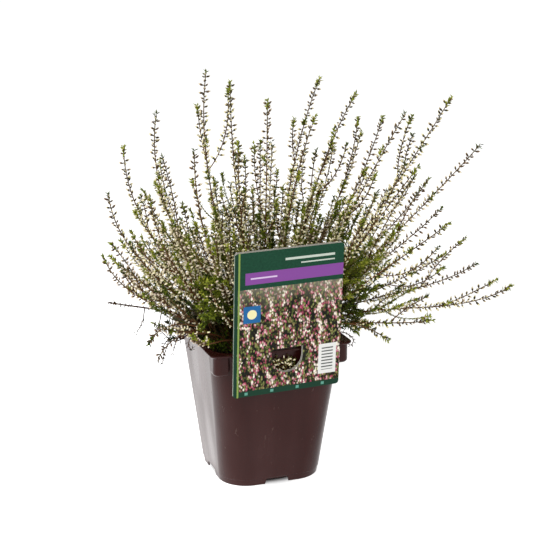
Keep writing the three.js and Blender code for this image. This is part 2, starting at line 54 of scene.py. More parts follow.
# ---- Pot ----
POT_HEIGHT = 111
RIM_SIDE = 110
RIM_CORNER = 6.5
RIM_THICKNESS = 1.5
RIM_ROUND = 0.4
BODY_TOP_SIDE = 103.2
BODY_TOP_CORNER = 17.8
BODY_FOOT_SIDE = 79.6
BODY_FOOT_CORNER = 22.4
WALL = 1.2
FLOOR_LEVEL = 6
FLOOR_THICKNESS = 1.5
FOOT_BAND = 5
FOOT_INSET = 0.5
FOOT_EDGE = 0.3
FOOT_GAP_WIDTH = 21
FOOT_GAP_HEIGHT = 4.2
FOOT_GAP_SLANT = 2
DRAIN_RADIUS = 4.5
DRAIN_SPACING = 21
LUG_SIDE = 105
LUG_WIDTH = 10.5
LUG_HEIGHT = 15
LUG_CORNER = 5
LUG_ROUND = 2.4
LUG_CORNER_STEPS = 8
LUG_END_STEPS = 4
# Where rings of the body lie, how it widens under the rim, and how far its cutters reach.
WALL_LEVELS = (20, 40, 60, 80, 95)
NECK_DROP = 0.8
NECK_SPREAD = 0.6
MOUTH_EDGE = 0.5
CUT_PAST_FOOT = 4
ROOM_ABOVE_FLOOR = 1
ROOM_PAST_RIM = 3
HOLE_SIDES = 32
CORNER_STEPS = 14
SMOOTH_POT = 28

# ---- Soil ----
SOIL_TOP = 99
SOIL_GAP = 0.35
SOIL_RELIEF = 1.3
SOIL_GRID = 90
SOIL_LUMPS = 1.5
SOIL_LUMP_SCALE = 0.16
SOIL_GRAINS = 0.5
SOIL_GRAIN_SCALE = 0.9
SMOOTH_SOIL = 60
CRUMB_EDGE = 6
CRUMB_LIFT = 0.5
CRUMB_ROUGHNESS = 0.35
CRUMB_BUMP_SCALE = 2.3
CRUMB_DEPTH = (0.6, 1)
CRUMB_THICKNESS = (0.45, 0.9)
SMALLER_CRUMBS = 1.3
CRUMBS = dict(count=1500, sizes=(0.5, 2.0))
GRIT = dict(count=70, sizes=(0.5, 1.1))

# ---- Card ----
CARD_WIDTH = 83
CARD_HEIGHT = 112
CARD_FOLD_RADIUS = 1.3
CARD_BELOW_HINGE = 35
CARD_LEAN = 0.11
CARD_TURN = 0.025
CARD_ROLL = -0.017
CARD_PLACE = np.array([1, -58.1, 114.2])
SMOOTH_CARD = 35
# How far in from the card's outside, and out from it, a face still counts as printed.
CARD_SKIN = 0.25
CARD_OVER = 0.1
CARD_FOLD_SKIN = 0.3

# ---- Stems, as the solids are laid out ----
SEED = 4
STEM_RADIUS = 1.4
BUD_REACH = 4.4
BUD_START = 0.34
ROOT_LIMIT = 37
ROOT_CROWDING = 0.7
ROOT_SPACING = 7.5
ROOT_ROUNDS = 60
SOIL_STANDOFF = 2
FOOT_LENGTH = 10.4
LEAST_RISE = 30
RISE_SHARE = 0.3
LEVEL_RISE = 30
CLIMB_SHARE = 0.55
AIM_SHARE = 0.36
BRANCH_BARE = 7
BRANCH_TRIES = 14
LENGTH_PER_BRANCH = 112
BRANCH_ANGLE = 0.8
BRANCH_APART = 20
BRANCH_PLACE = (0.3, 0.74)
BRANCH_LENGTH = (38, 72)
BRANCH_PAST_TIP = 1.15
BRANCH_OUTWARD = 0.45
BRANCH_UPTURN = 0.5
FILL_STEMS = 16
FILL_TRIES = 60
FILL_BEARING = 170
FILL_REACH = (60, 122)
FILL_HEIGHT = (205, 128)
FILL_UNEVEN = 12
FILL_LEAVE = 62
FILL_AIM = (30, 75)
CLEARANCE = 1.5
HOLDER_CLEARANCE = 1
SAMPLE_STEP = 4
ARC_DIVISIONS = 200
TANGENT_STEP = 0.0001

# Tip of each long stem, then the slopes that it leaves the soil with and that its tip points along.
LONG_STEMS = [
    [-33, 22, 307, 75, 98],
    [-9, 40, 294, 80, 90],
    [-27, -33, 262, 78, 92],
    [1, -16, 288, 86, 90],
    [27, 75, 242, 70, 82],
    [-73, 16, 278, 58, 100],
    [-56, 73, 232, 60, 86],
    [-88, 58, 247, 50, 92],
    [-109, 23, 220, 50, 86],
    [-90, -26, 226, 55, 86],
    [-99, 68, 160, 52, 46],
    [-118, 5, 177, 52, 74],
    [-95, -29, 117, 62, -62],
    [-84, -13, 98, 82, -78],
    [-59, -32, 258, 64, 92],
    [-13, 68, 215, 70, 86],
    [51, 8, 299, 80, 66],
    [32, -33, 278, 80, 68],
    [69, -19, 290, 74, 60],
    [80, 51, 238, 62, 76],
    [94, 35, 263, 60, 84],
    [102, 6, 267, 62, 72],
    [95, -50, 279, 62, 61],
    [137, -39, 287, 56, 60],
    [89, -85, 246, 56, 55],
    [151, -60, 254, 52, 50],
    [145, 12, 215, 50, 54],
    [148, -6, 195, 52, 44],
    [113, -89, 204, 52, 40],
    [138, -34, 166, 54, 36],
    [171, -24, 153, 56, 32],
    [180, -65, 145, 60, 34],
    [115, -63, 124, 62, 14],
    [74, -74, 116, 66, -34],
]
DRY_TWIG = [-110, 40, 132, 62, 12]

# ---- Finer growth on the stems: angles in radians, tints from 0 to 1 ----
GROWTH_SEED = 11

# The wood, as radii.
TUBE_STEP = 4
ROOT_THICKNESS = 1.05
TIP_THICKNESS = 0.4
SHOOT_THICKNESS = 0.44
TAPER = 0.36

# The pairs of buds, each over a bract. A pair of values is a range, or a middle and its spread.
PAIR_STEP_AT_TIP = 2.9
PAIR_STEP_BELOW = 2.15
CLOSER_BELOW = 55
BUD_LEAN = (1.02, 0.24)
BUD_SIZE = (0.76, 1.16)
BUD_PAIR_TWIST = 0.1
BUD_SCATTER = 0.4
BUD_SLIDE = 0.8
BUD_TINT_SPREAD = 0.2
LEAST_BUDS = 0.2
MOST_BUDS = 0.95
SMALL_BUDS = 24
TIP_BUD_SIZE = 0.9
YOUNG_BUDS = 75
YOUNG_SHIFT = 0.4
YOUNG_ROSE = 0.6
YOUTH_OF_SIDES = 0.7
BRACT_SIZE = (0.7, 1.05)
BRACT_TINT = (0.4, 0.2)
BRACT_SCATTER = 0.7
BRACT_LEAN_SHARE = 0.6
TIP_BRACT_SIZE = 1.5
YOUNG_BRACT_DARKER = 0.55

# The scale leaves and the tufts at the tips.
LEAF_FLATNESS = 0.55
LEAF_CURL = 0.12
LEAF_PAIR_STEP = 1.3
LEAF_PAIR_TWIST = 0.12
LEAF_SCATTER = 0.35
# LEAF_SHADE and TUFT_SHADE: the share of a leaf's tint left where there is no light, as painted shade.
LEAF_SHADE = 0.55
LEAF_TINT_SPREAD = 0.1
BARE_STEM_LEAF_STEP = 2.2
BARE_STEM_LEAF_TINT = (0.1, 0.7)
LEAFY_TINT = (0.22, 0.67)
LEAFY_UNEVEN = 0.1
PALER_AT_TIP = 0.25
PALER_TUFT = 0.2
TUFT_LENGTH = 8
TUFT_LEAVES = 24
TUFT_LEAN = (0.3, 1.2)
TUFT_LEAF_SIZE = (1.1, 1.8)
TUFT_SHADE = 0.6
TUFT_TINT_SPREAD = 0.13
FULL_TUFTS = 0.6
FULL_TUFT = dict(tint=0.8, fullness=1.0)
SPARSE_TUFT = dict(tint=0.5, fullness=0.35)
SPUR_TINT = (0.6, 0.9)

# What differs from stem to stem: how rosy and how golden it is, and how withered, by its number.
ROSY_SHARES = [0.0, 0.06, 0.15, 0.4]
ROSY_UNEVEN = (-0.1, 0.2)
GOLDEN = (-0.08, 0.22)
DRYNESS = {12: 0.2, 13: 0.5, 14: 0.9}
DRY_ROSIER = 0.6
DRY_DULLER = 0.4
DRY_DARKER = 0.6

# Where the light and the growth thin out: by height and reach, in the pot's open mouth, and by the
# height and the X of a stem's tip.
SHADE_LEVEL = (108, 156)
SHADE_REACH = (62, 84)
MOUTH_MARGIN = 12
MOUTH_PAST_RIM = 6
MOUTH_FRONT = -12
FORKING_HEIGHT = (150, 235)
FULLER_STEMS = (11, 12, 13)
FULLNESS = ([-110, -60, 20, 110], [1.0, 0.8, 0.68, 0.45])
LOWER_SHOOTS_LEAST = 0.25
MIDDLE_SHOOTS_LEAST = 0.3

# Side shoots beyond the solids' own.
SIDE_UPTURN = (0.2, 0.65)
SIDE_SHARE_OF_REST = 0.72
SIDE_PAST_TIP = 4
SIDE_APART = 6
SPIRAL_TURN = 2.4
SPIRAL_UNEVEN = 0.4

# Kinds of side shoot on a long stem: how far apart they are, between which shares of its length they
# grow, how long they are and the angles that they leave at.
SIDE_SHOOTS = {
    "upper": dict(spacing=27, place=(0.5, 0.74), lengths=(16, 46), angles=(0.3, 0.62)),
    "lower": dict(spacing=11.5, place=(0.1, 0.46), lengths=(38, 82), angles=(0.3, 0.62)),
    "middle": dict(spacing=15, place=(0.26, 0.5), lengths=(12, 32), angles=(0.45, 0.95)),
    "leafy": dict(spacing=7.5, place=(0.04, 0.5), lengths=(18, 46), angles=(0.35, 0.95)),
    "spur": dict(spacing=44, place=(0.5, 0.85), lengths=(5, 9), angles=(0.3, 0.62)),
}

# ---- Shoots from the soil ----
INNER_SHOOTS = 80
INNER_RADIUS = 36
INNER_HEIGHT = (36, 92)
INNER_SPREAD = (0.2, 0.75)
INNER_LOWER_OUTSIDE = 0.75
INNER_TINT = (0.24, 0.5)
INNER_TINT_FROM = -20
INNER_TINT_OVER = 50
BEND_OUT = 0.25
BEND_UP = 0.6
ARCH_OVER_RIM = 34
BASAL_SHOOTS = 22
BASAL_X = (-48, -24)
BASAL_Y = (-22, 8)
BASAL_LEAN = 9
BASAL_HEIGHT = (9, 16)
BASAL_TINT = (0.52, 0.82)


# ---- Small tools ----
def unit(vector):
    return vector / np.linalg.norm(vector)


def mix(low, high, share):
    return low + (high - low) * share


def srgb(red, green, blue):
    """A colour given in 0 to 255, as light."""
    shares = [value / 255 for value in (red, green, blue)]
    return [c / 12.92 if c <= 0.04045 else ((c + 0.055) / 1.055) ** 2.4 for c in shares] + [1.0]


def in_frame(points):
    """Millimetres from the pot's axis to metres in the frame."""
    return np.asarray(points) * MM + AXIS


def put(name, data):
    """A new object in the scene, at its origin."""
    thing = bpy.data.objects.new(name, data)
    bpy.context.scene.collection.objects.link(thing)
    return thing


def make_piece(name, mesh, *materials, slot, replaces=()):
    piece = put(name, mesh)
    for material in materials:
        mesh.materials.append(material)
    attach(piece, "root")
    if replaces:
        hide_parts(*replaces)
    return piece


def settle(bm, name):
    """A finished bmesh as a mesh."""
    mesh = bpy.data.meshes.new(name)
    bm.to_mesh(mesh)
    bm.free()
    return mesh


def to_mesh(bm, name):
    """A finished bmesh in millimetres as a mesh in the frame's metres."""
    bmesh.ops.transform(bm, matrix=Matrix.Translation(Vector(AXIS)) @ Matrix.Scale(MM, 4), verts=bm.verts)
    return settle(bm, name)


def smooth(mesh, degrees):
    """Smooth shading, but sharp where two faces meet at more than an angle."""
    mesh.polygons.foreach_set("use_smooth", [True] * len(mesh.polygons))
    mesh.set_sharp_from_angle(angle=math.radians(degrees))


# ---- Node finishes ----
class Signal:
    """What a node gives. Arithmetic on it adds Math nodes."""

    def __init__(self, nodes, socket):
        self.nodes = nodes
        self.socket = socket

    def math(self, operation, *values):
        return self.nodes.add("ShaderNodeMath", {"operation": operation}, dict(enumerate(values)))

    def __add__(self, other):
        return self.math("ADD", self, other)

    def __sub__(self, other):
        return self.math("SUBTRACT", self, other)

    def __rsub__(self, other):
        return self.math("SUBTRACT", other, self)

    def __mul__(self, other):
        return self.math("MULTIPLY", self, other)

    def __lt__(self, other):
        return self.math("LESS_THAN", self, other)

    def __gt__(self, other):
        return self.math("GREATER_THAN", self, other)

    __radd__ = __add__
    __rmul__ = __mul__

    def fract(self):
        return self.math("FRACT", self)

    def whole(self):
        return self.math("FLOOR", self)

    def size(self):
        return self.math("ABSOLUTE", self)

    def squared(self):
        return self * self

    def at_least(self, other):
        return self.math("MAXIMUM", self, other)

    def within(self, low, high):
        return (self > low) * (self < high)


class Nodes:
    """The nodes of a material or a world, with the one at their end that takes the results."""

    def __init__(self, tree, end):
        self.nodes = tree.nodes
        self.links = tree.links
        self.end = self.nodes[end]

    def add(self, kind, settings=None, sockets=None, output=0):
        """Adds a node: its settings are set first, then its sockets are given values or links.

        A ramp's stops are places with colours in 0 to 255.
        """
        node = self.nodes.new(kind)
        for name, value in (settings or {}).items():
            if name == "stops":
                self.set_stops(node.color_ramp, value)
            else:
                setattr(node, name, value)
        for name, value in (sockets or {}).items():
            if isinstance(value, Signal):
                self.links.new(value.socket, node.inputs[name])
            else:
                node.inputs[name].default_value = value
        return Signal(self, node.outputs[output])

    def set_stops(self, ramp, stops):
        while len(ramp.elements) < len(stops):
            ramp.elements.new(1.0)
        for element, (place, colour) in zip(ramp.elements, stops):
            element.position = place
            element.color = srgb(*colour)

    def feed(self, socket, signal):
        self.links.new(signal.socket, self.end.inputs[socket])


class Finish(Nodes):
    """A material built from nodes around one Principled shader."""

    def __init__(self, name, **constants):
        self.material = bpy.data.materials.new(name)
        self.material.use_nodes = True
        super().__init__(self.material.node_tree, "Principled BSDF")
        for socket, value in constants.items():
            self.end.inputs[socket.replace("_", " ")].default_value = value

    def place(self, output="Object"):
        return self.add("ShaderNodeTexCoord", output=output)

    def attribute(self, name):
        return self.add("ShaderNodeAttribute", {"attribute_name": name}, output="Fac")

    def noise(self, scale, detail=3.0, at=None, **sockets):
        values = {"Vector": at or self.place(), "Scale": scale, "Detail": detail, **sockets}
        return self.add("ShaderNodeTexNoise", sockets=values)

    def cells(self, scale, at, output="Distance", **sockets):
        values = {"Vector": at, "Scale": scale, **sockets}
        return self.add("ShaderNodeTexVoronoi", sockets=values, output=output)

    def rise(self, value, start, stop):
        """A share that goes from 0 to 1 while a value goes from start to stop."""
        sockets = {"Value": value, "From Min": start, "From Max": stop}
        return self.add("ShaderNodeMapRange", sockets=sockets)

    def ramp(self, factor, stops):
        return self.add("ShaderNodeValToRGB", {"stops": stops}, {"Fac": factor})

    def blend(self, factor, first, second, how="MIX"):
        settings = {"data_type": "RGBA", "blend_type": how}
        return self.add("ShaderNodeMix", settings, {0: factor, 6: first, 7: second}, output=2)

    def stretch(self, vector, by):
        return self.add("ShaderNodeVectorMath", {"operation": "MULTIPLY"}, {0: vector, 1: by})

    def axes(self, vector):
        return [self.add("ShaderNodeSeparateXYZ", sockets={0: vector}, output=axis) for axis in "XYZ"]

    def bump(self, height, strength, distance):
        sockets = {"Height": height, "Strength": strength, "Distance": distance}
        self.feed("Normal", self.add("ShaderNodeBump", sockets=sockets))


def pot_plastic():
    """Dark brown moulded plastic with upright flow streaks, scuffs, and walls that are a little wavy."""
    finish = Finish(
        "pot_plastic", IOR=1.42, Specular_IOR_Level=0.3, Specular_Tint=(1, 0.88, 0.87, 1),
        Coat_Roughness=0.2,
    )
    place = finish.place()
    streaks = finish.noise(60, 4, finish.stretch(place, (1, 1, 0.06)))
    clouds = finish.noise(14, 5, place)
    scuffs = finish.noise(260, 6, finish.stretch(place, (1, 1, 0.3)), Roughness=0.7)
    tone = finish.ramp(
        streaks * 0.6 + clouds * 0.4,
        [(0.3, (44, 13, 11)), (0.5, (50, 16, 14)), (0.7, (56, 20, 18))],
    )
    dust = (scuffs > 0.66) * 0.1
    finish.feed("Base Color", finish.blend(dust, tone, srgb(138, 116, 104)))
    finish.feed("Roughness", streaks * 0.08 + clouds * 0.1 + dust * 1.2 + 0.17)
    finish.feed("Coat Weight", (clouds + streaks * 0.5 - 0.68) * 0.5)
    waves = finish.noise(26, 1, finish.stretch(place, (1, 1, 0.45)))
    finish.bump(finish.noise(900, 2, place) * 0.5 + streaks * 2 + waves * 60, 0.12, 0.0004)
    return finish.material


def peat_soil():
    finish = Finish("peat_soil", Roughness=0.95, Specular_IOR_Level=0.2)
    place = finish.place()
    crumbs = finish.cells(330, place)
    grains = finish.noise(420, 6, place, Roughness=0.7)
    tone = finish.ramp(
        grains * 0.7 + crumbs * 0.4,
        [(0.3, (14, 10, 8)), (0.52, (30, 22, 16)), (0.68, (56, 41, 29)), (0.8, (88, 70, 52))],
    )
    finish.feed("Base Color", tone)
    finish.bump(crumbs * 0.8 + grains, 0.9, 0.0012)
    return finish.material


def grit_finish():
    finish = Finish("pale_grit", Roughness=0.8)
    grains = finish.noise(900, 4)
    finish.feed("Base Color", finish.ramp(grains, [(0.35, (150, 142, 128)), (0.65, (214, 208, 194))]))
    finish.bump(grains, 0.5, 0.0003)
    return finish.material


def bark():
    """Brown-grey and flaking at the foot, red-brown to olive on the young wood."""
    finish = Finish("heather_bark", Roughness=0.8, Specular_IOR_Level=0.12)
    grain = finish.noise(700, 4, finish.stretch(finish.place(), (1, 1, 0.35)))
    age = finish.attribute("tint") + grain * 0.3 - 0.15
    stops = [
        (0.0, (46, 34, 24)),
        (0.2, (92, 54, 34)),
        (0.5, (100, 62, 34)),
        (0.8, (108, 80, 50)),
        (1.0, (118, 108, 76)),
    ]
    finish.feed("Base Color", finish.ramp(age, stops))
    finish.bump(grain, 0.6, 0.0003)
    return finish.material


def bud_skin():
    """A dark olive cup of bracts, then the pale closed petals, cream on most buds and rosy on some."""
    finish = Finish("heather_bud", Roughness=0.6, Specular_IOR_Level=0.15)
    along = finish.attribute("along")
    tint = finish.attribute("tint")
    cream = [
        (0.22, (34, 40, 11)),
        (0.37, (74, 82, 26)),
        (0.46, (240, 228, 162)),
        (0.7, (255, 249, 214)),
        (1.0, (242, 224, 176)),
    ]
    rosy = [
        (0.22, (96, 74, 54)),
        (0.37, (136, 110, 86)),
        (0.46, (220, 200, 180)),
        (0.7, (254, 240, 228)),
        (1.0, (224, 188, 170)),
    ]
    finish.feed("Base Color", finish.blend(tint, finish.ramp(along, cream), finish.ramp(along, rosy)))
    return finish.material


def leaf_skin():
    """Scale leaves, from dark inside the plant, where their tints carry painted shade, to yellow-green at the
    growing tips.
    """
    finish = Finish("heather_leaf", Roughness=0.55, Specular_IOR_Level=0.15)
    tint = finish.attribute("tint")
    along = finish.attribute("along")
    stops = [
        (0.0, (90, 74, 52)),
        (0.14, (23, 31, 6)),
        (0.35, (34, 52, 8)),
        (0.6, (88, 104, 21)),
        (0.85, (142, 152, 44)),
        (1.0, (182, 184, 70)),
    ]
    finish.feed("Base Color", finish.ramp(tint + along * 0.14 - 0.05, stops))
    return finish.material


# ---- Pot ----
def square_ring(bm, side, corner, z):
    """The edges of a level square ring with round corners."""
    half_step = Matrix.Rotation(math.pi / (4 * CORNER_STEPS), 4, "Z")
    ring = bmesh.ops.create_circle(bm, segments=4 * CORNER_STEPS, radius=corner, matrix=half_step)["verts"]
    reach = side / 2 - corner
    for vert in ring:
        vert.co += Vector((math.copysign(reach, vert.co.x), math.copysign(reach, vert.co.y), z))
    return list({edge for vert in ring for edge in vert.link_edges})


def body_ring(bm, z, inset):
    """A ring of the pot's tapered body at a level, drawn in from its outside."""
    share = z / POT_HEIGHT
    side = mix(BODY_FOOT_SIDE, BODY_TOP_SIDE, share) - 2 * inset
    corner = mix(BODY_FOOT_CORNER, BODY_TOP_CORNER, share) - inset
    return square_ring(bm, side, corner, z)


def stack(bm, rings):
    """Joins each ring to the next and closes both ends."""
    for low, high in zip(rings, rings[1:]):
        bmesh.ops.bridge_loops(bm, edges=low + high)
    bmesh.ops.holes_fill(bm, edges=rings[0] + rings[-1], sides=4 * CORNER_STEPS)
    bmesh.ops.recalc_face_normals(bm, faces=bm.faces)
    return bm


def pot_shell():
    """The pot's body from under its floor, out round the foot, up, over the rim and down inside."""
    bm = bmesh.new()
    under = WALL + FOOT_INSET
    rim_low = POT_HEIGHT - RIM_THICKNESS
    rim_rows = [
        (RIM_ROUND, rim_low),
        (0, rim_low + RIM_ROUND),
        (0, POT_HEIGHT - RIM_ROUND),
        (RIM_ROUND, POT_HEIGHT),
    ]
    body_rows = [
        (FLOOR_LEVEL, under),
        (0, under),
        (0, FOOT_INSET + FOOT_EDGE),
        (FOOT_EDGE, FOOT_INSET),
        (FOOT_BAND - FOOT_EDGE, FOOT_INSET),
        (FOOT_BAND + FOOT_EDGE, 0),
        *[(z, 0) for z in (*WALL_LEVELS, rim_low - NECK_DROP)],
    ]
    mouth_rows = [
        (POT_HEIGHT, WALL - MOUTH_EDGE),
        (POT_HEIGHT - MOUTH_EDGE, WALL),
        (FLOOR_LEVEL + FLOOR_THICKNESS, WALL),
    ]
    rings = [body_ring(bm, z, inset) for z, inset in body_rows]
    rings += [square_ring(bm, BODY_TOP_SIDE + NECK_SPREAD, BODY_TOP_CORNER, rim_low)]
    rings += [square_ring(bm, RIM_SIDE - 2 * inset, RIM_CORNER - inset, z) for inset, z in rim_rows]
    rings += [body_ring(bm, z, inset) for z, inset in mouth_rows]
    return stack(bm, rings)


def lug(bm, x, y):
    """A corner block under the rim, with its outer corner and its lower end rounded."""
    top = POT_HEIGHT - RIM_THICKNESS / 2
    height = LUG_HEIGHT + RIM_THICKNESS / 2
    centre = LUG_SIDE / 2 - LUG_WIDTH / 2
    cube = bmesh.ops.create_cube(bm, size=1)["verts"]
    bmesh.ops.scale(bm, vec=(LUG_WIDTH, LUG_WIDTH, height), verts=cube)
    bmesh.ops.translate(bm, vec=(x * centre, y * centre, top - height / 2), verts=cube)
    outermost = [vert for vert in cube if abs(vert.co.x) > centre and abs(vert.co.y) > centre]
    upright = [edge for edge in outermost[0].link_edges if set(edge.verts) == set(outermost)]
    rounding = {"profile": 0.5, "affect": "EDGES", "material": -1, "offset_type": "OFFSET"}
    bmesh.ops.bevel(bm, geom=upright, offset=LUG_CORNER, segments=LUG_CORNER_STEPS, **rounding)
    lower_end = [
        edge for edge in bm.edges
        if all(vert.co.z < top - height + 0.1 and vert.co.x * x > 0 < vert.co.y * y for vert in edge.verts)
        and max(map(abs, (edge.verts[0].co + edge.verts[1].co).xy / 2)) > centre
    ]
    bmesh.ops.bevel(bm, geom=lower_end, offset=LUG_ROUND, segments=LUG_END_STEPS, **rounding)


def pot_cutter():
    """What is taken out of the pot: the gaps between its feet and the drain holes."""
    bm = bmesh.new()
    for turn in (0, math.pi / 2):
        bar = bmesh.ops.create_cube(bm, size=1)["verts"]
        bmesh.ops.scale(bm, vec=(FOOT_GAP_WIDTH, 2 * RIM_SIDE, FOOT_GAP_HEIGHT + CUT_PAST_FOOT), verts=bar)
        bmesh.ops.translate(bm, vec=(0, 0, (FOOT_GAP_HEIGHT - CUT_PAST_FOOT) / 2), verts=bar)
        for vert in bar:
            if vert.co.z > 0:
                vert.co.x -= math.copysign(FOOT_GAP_SLANT, vert.co.x)
        bmesh.ops.rotate(bm, matrix=Matrix.Rotation(turn, 3, "Z"), verts=bar)
    apart = (-DRAIN_SPACING, DRAIN_SPACING)
    for x, y in [(0, 0)] + [(x, y) for x in apart for y in apart]:
        bmesh.ops.create_cone(
            bm, cap_ends=True, segments=HOLE_SIDES, radius1=DRAIN_RADIUS, radius2=DRAIN_RADIUS,
            depth=4 * FLOOR_THICKNESS, matrix=Matrix.Translation((x, y, FLOOR_LEVEL + FLOOR_THICKNESS)),
        )
    return bm


def room_cutter():
    """The room inside the pot, which trims what the corner blocks leave inside."""
    bm = bmesh.new()
    low = FLOOR_LEVEL + FLOOR_THICKNESS + ROOM_ABOVE_FLOOR
    return stack(bm, [body_ring(bm, z, WALL) for z in (low, POT_HEIGHT + ROOM_PAST_RIM)])


def carve(bm, steps, name):
    """The mesh of a bmesh after Boolean steps, each an operation and a bmesh."""
    block = put(name, to_mesh(bm, name))
    tools = []
    for operation, tool in steps:
        cutter = put("tool", to_mesh(tool, "tool"))
        tools.append(cutter)
        step = block.modifiers.new(operation.lower(), "BOOLEAN")
        step.operation = operation
        step.solver = "EXACT"
        step.object = cutter
    bpy.context.view_layer.update()
    mesh = bpy.data.meshes.new_from_object(block.evaluated_get(bpy.context.evaluated_depsgraph_get()))
    for thing in [block, *tools]:
        bpy.data.objects.remove(thing)
    return mesh


def make_pot():
    lugs = bmesh.new()
    for x in (-1, 1):
        for y in (-1, 1):
            lug(lugs, x, y)
    steps = [("UNION", lugs), ("DIFFERENCE", room_cutter()), ("DIFFERENCE", pot_cutter())]
    mesh = carve(pot_shell(), steps, "nursery_pot")
    smooth(mesh, SMOOTH_POT)
    pot = make_piece("nursery_pot", mesh, pot_plastic(), slot="pot_plastic", replaces=["pot"])
    pot.modifiers.new("flat_faces", "WEIGHTED_NORMAL").keep_sharp = True


# ---- Soil ----
def soil_level(x, y):
    """The soil's height before its lumps, as on the solid."""
    waves = math.sin(0.19 * x + 0.6) * math.cos(0.23 * y) + 0.4 * math.sin(0.47 * x - 0.39 * y)
    return SOIL_TOP + SOIL_RELIEF * waves


def in_round_square(point, z):
    """Where a point of a square of side 2 falls in the pot's room at a level."""
    share = z / POT_HEIGHT
    inset = WALL + SOIL_GAP
    half = mix(BODY_FOOT_SIDE, BODY_TOP_SIDE, share) / 2 - inset
    straight = half - (mix(BODY_FOOT_CORNER, BODY_TOP_CORNER, share) - inset)
    place = Vector((point.x * half, point.y * half))
    past = Vector([max(abs(c) - straight, 0) for c in place])
    if past.x > 0 and past.y > 0:
        past *= max(past) / past.length
        place = Vector([math.copysign(straight + step, c) for step, c in zip(past, place)])
    return place


def make_soil():
    """A bed of crumbly peat that fills the pot's room, with a lumpy top."""
    bm = bmesh.new()
    bmesh.ops.create_grid(bm, x_segments=SOIL_GRID, y_segments=SOIL_GRID, size=1)
    edge = [edge for edge in bm.edges if edge.is_boundary]
    skirt = bmesh.ops.extrude_edge_only(bm, edges=edge)["geom"]
    foot = {vert for vert in skirt if isinstance(vert, bmesh.types.BMVert)}
    lines = [thing for thing in skirt if isinstance(thing, bmesh.types.BMEdge)]
    foot_level = FLOOR_LEVEL + FLOOR_THICKNESS + SOIL_GAP
    for vert in bm.verts:
        level = foot_level if vert in foot else SOIL_TOP
        vert.co.xy = in_round_square(vert.co, level)
        vert.co.z = foot_level
        if vert not in foot:
            lumps = noise.fractal(vert.co * SOIL_LUMP_SCALE, 0.8, 2.1, 5) * SOIL_LUMPS
            grains = noise.noise(vert.co * SOIL_GRAIN_SCALE) * SOIL_GRAINS
            vert.co.z = soil_level(vert.co.x, vert.co.y) + (lumps + grains)
    bmesh.ops.holes_fill(bm, edges=[line for line in lines if foot.issuperset(line.verts)])
    bmesh.ops.recalc_face_normals(bm, faces=bm.faces)
    mesh = to_mesh(bm, "soil_bed")
    smooth(mesh, SMOOTH_SOIL)
    make_piece("soil_bed", mesh, EARTH, slot="peat_soil", replaces=["soil"])


# ---- Copies of small shapes ----
class Shape:
    """A small shape made once and copied many times: points, faces, and how far along it each point is."""

    def __init__(self, bm):
        mesh = settle(bm, "shape")
        self.points = read(mesh.vertices, "co", 3)
        self.corners = read(mesh.loops, "vertex_index", 1, np.int32)
        self.sizes = read(mesh.polygons, "loop_total", 1, np.int32)
        height = self.points[:, 2]
        self.along = (height - height.min()) / np.ptp(height)
        bpy.data.meshes.remove(mesh)


def read(things, name, width, kind=np.float32):
    values = np.empty(len(things) * width, kind)
    things.foreach_get(name, values)
    return values.reshape(-1, width) if width > 1 else values


class Gather:
    """Collects copies of shapes into one mesh with the attributes tint and along."""

    def __init__(self):
        self.parts = []
        self.count = 0

    def add(self, points, corners, sizes, slot, tint, along):
        self.parts.append((points, corners + self.count, sizes, np.full(len(sizes), slot), tint, along))
        self.count += len(points)

    def stamp(self, shape, turns, places, slot, tint, shift=0.0):
        """Copies a shape to each place, turned and scaled by each 3 by 3 matrix."""
        copies, size = len(places), len(shape.points)
        points = np.einsum("nij,kj->nki", turns, shape.points) + places[:, None]
        corners = shape.corners[None] + (size * np.arange(copies))[:, None]
        along = np.tile(shape.along, copies) - np.repeat(np.full(copies, shift), size)
        sizes = np.tile(shape.sizes, copies)
        self.add(points.reshape(-1, 3), corners.ravel(), sizes, slot, np.repeat(tint, size), along)

    def mesh(self, name):
        columns = [np.concatenate(column) for column in zip(*self.parts)]
        points, corners, sizes, slots, tint, along = columns
        mesh = bpy.data.meshes.new(name)
        mesh.vertices.add(len(points))
        mesh.loops.add(len(corners))
        mesh.polygons.add(len(sizes))
        mesh.vertices.foreach_set("co", in_frame(points).astype(np.float32).ravel())
        mesh.loops.foreach_set("vertex_index", corners.astype(np.int32))
        mesh.polygons.foreach_set("loop_start", (np.cumsum(sizes) - sizes).astype(np.int32))
        mesh.polygons.foreach_set("material_index", slots.astype(np.int32))
        mesh.polygons.foreach_set("use_smooth", np.full(len(sizes), True))
        for attribute, values in (("tint", tint), ("along", along)):
            made = mesh.attributes.new(attribute, "FLOAT", "POINT")
            made.data.foreach_set("value", values.astype(np.float32))
        mesh.update(calc_edges=True)
        mesh.validate()
        return mesh


def bud_shape():
    """A bud on its stalk, 4.8 long: four-sided, with its cup of bracts widest."""
    bm = bmesh.new()
    bmesh.ops.create_uvsphere(bm, u_segments=4, v_segments=4, radius=1)
    reshape(bm, [(-1, 0.0, 0.0), (-0.71, 1.2, 0.25), (0, 2.1, 0.77), (0.71, 3.6, 0.68), (1, 4.8, 0.0)])
    return Shape(bm)


def leaf_shape():
    """A scale leaf, 2.4 long: flat, pointed and curved a little outwards."""
    bm = bmesh.new()
    bmesh.ops.create_uvsphere(bm, u_segments=3, v_segments=2, radius=1)
    reshape(bm, [(-1, 0.0, 0.0), (0, 1.0, 0.5), (1, 2.4, 0.0)])
    for vert in bm.verts:
        vert.co.y = vert.co.y * LEAF_FLATNESS + LEAF_CURL * (vert.co.z - 1) ** 2
    return Shape(bm)


def reshape(bm, profile):
    """Moves each level of a sphere of radius 1 to its own height and radius."""
    for vert in bm.verts:
        _, height, radius = min(profile, key=lambda row: abs(row[0] - vert.co.z))
        spread = math.hypot(vert.co.x, vert.co.y)
        scale = radius / spread if spread > 1e-6 else 0
        vert.co = Vector((vert.co.x * scale, vert.co.y * scale, height))


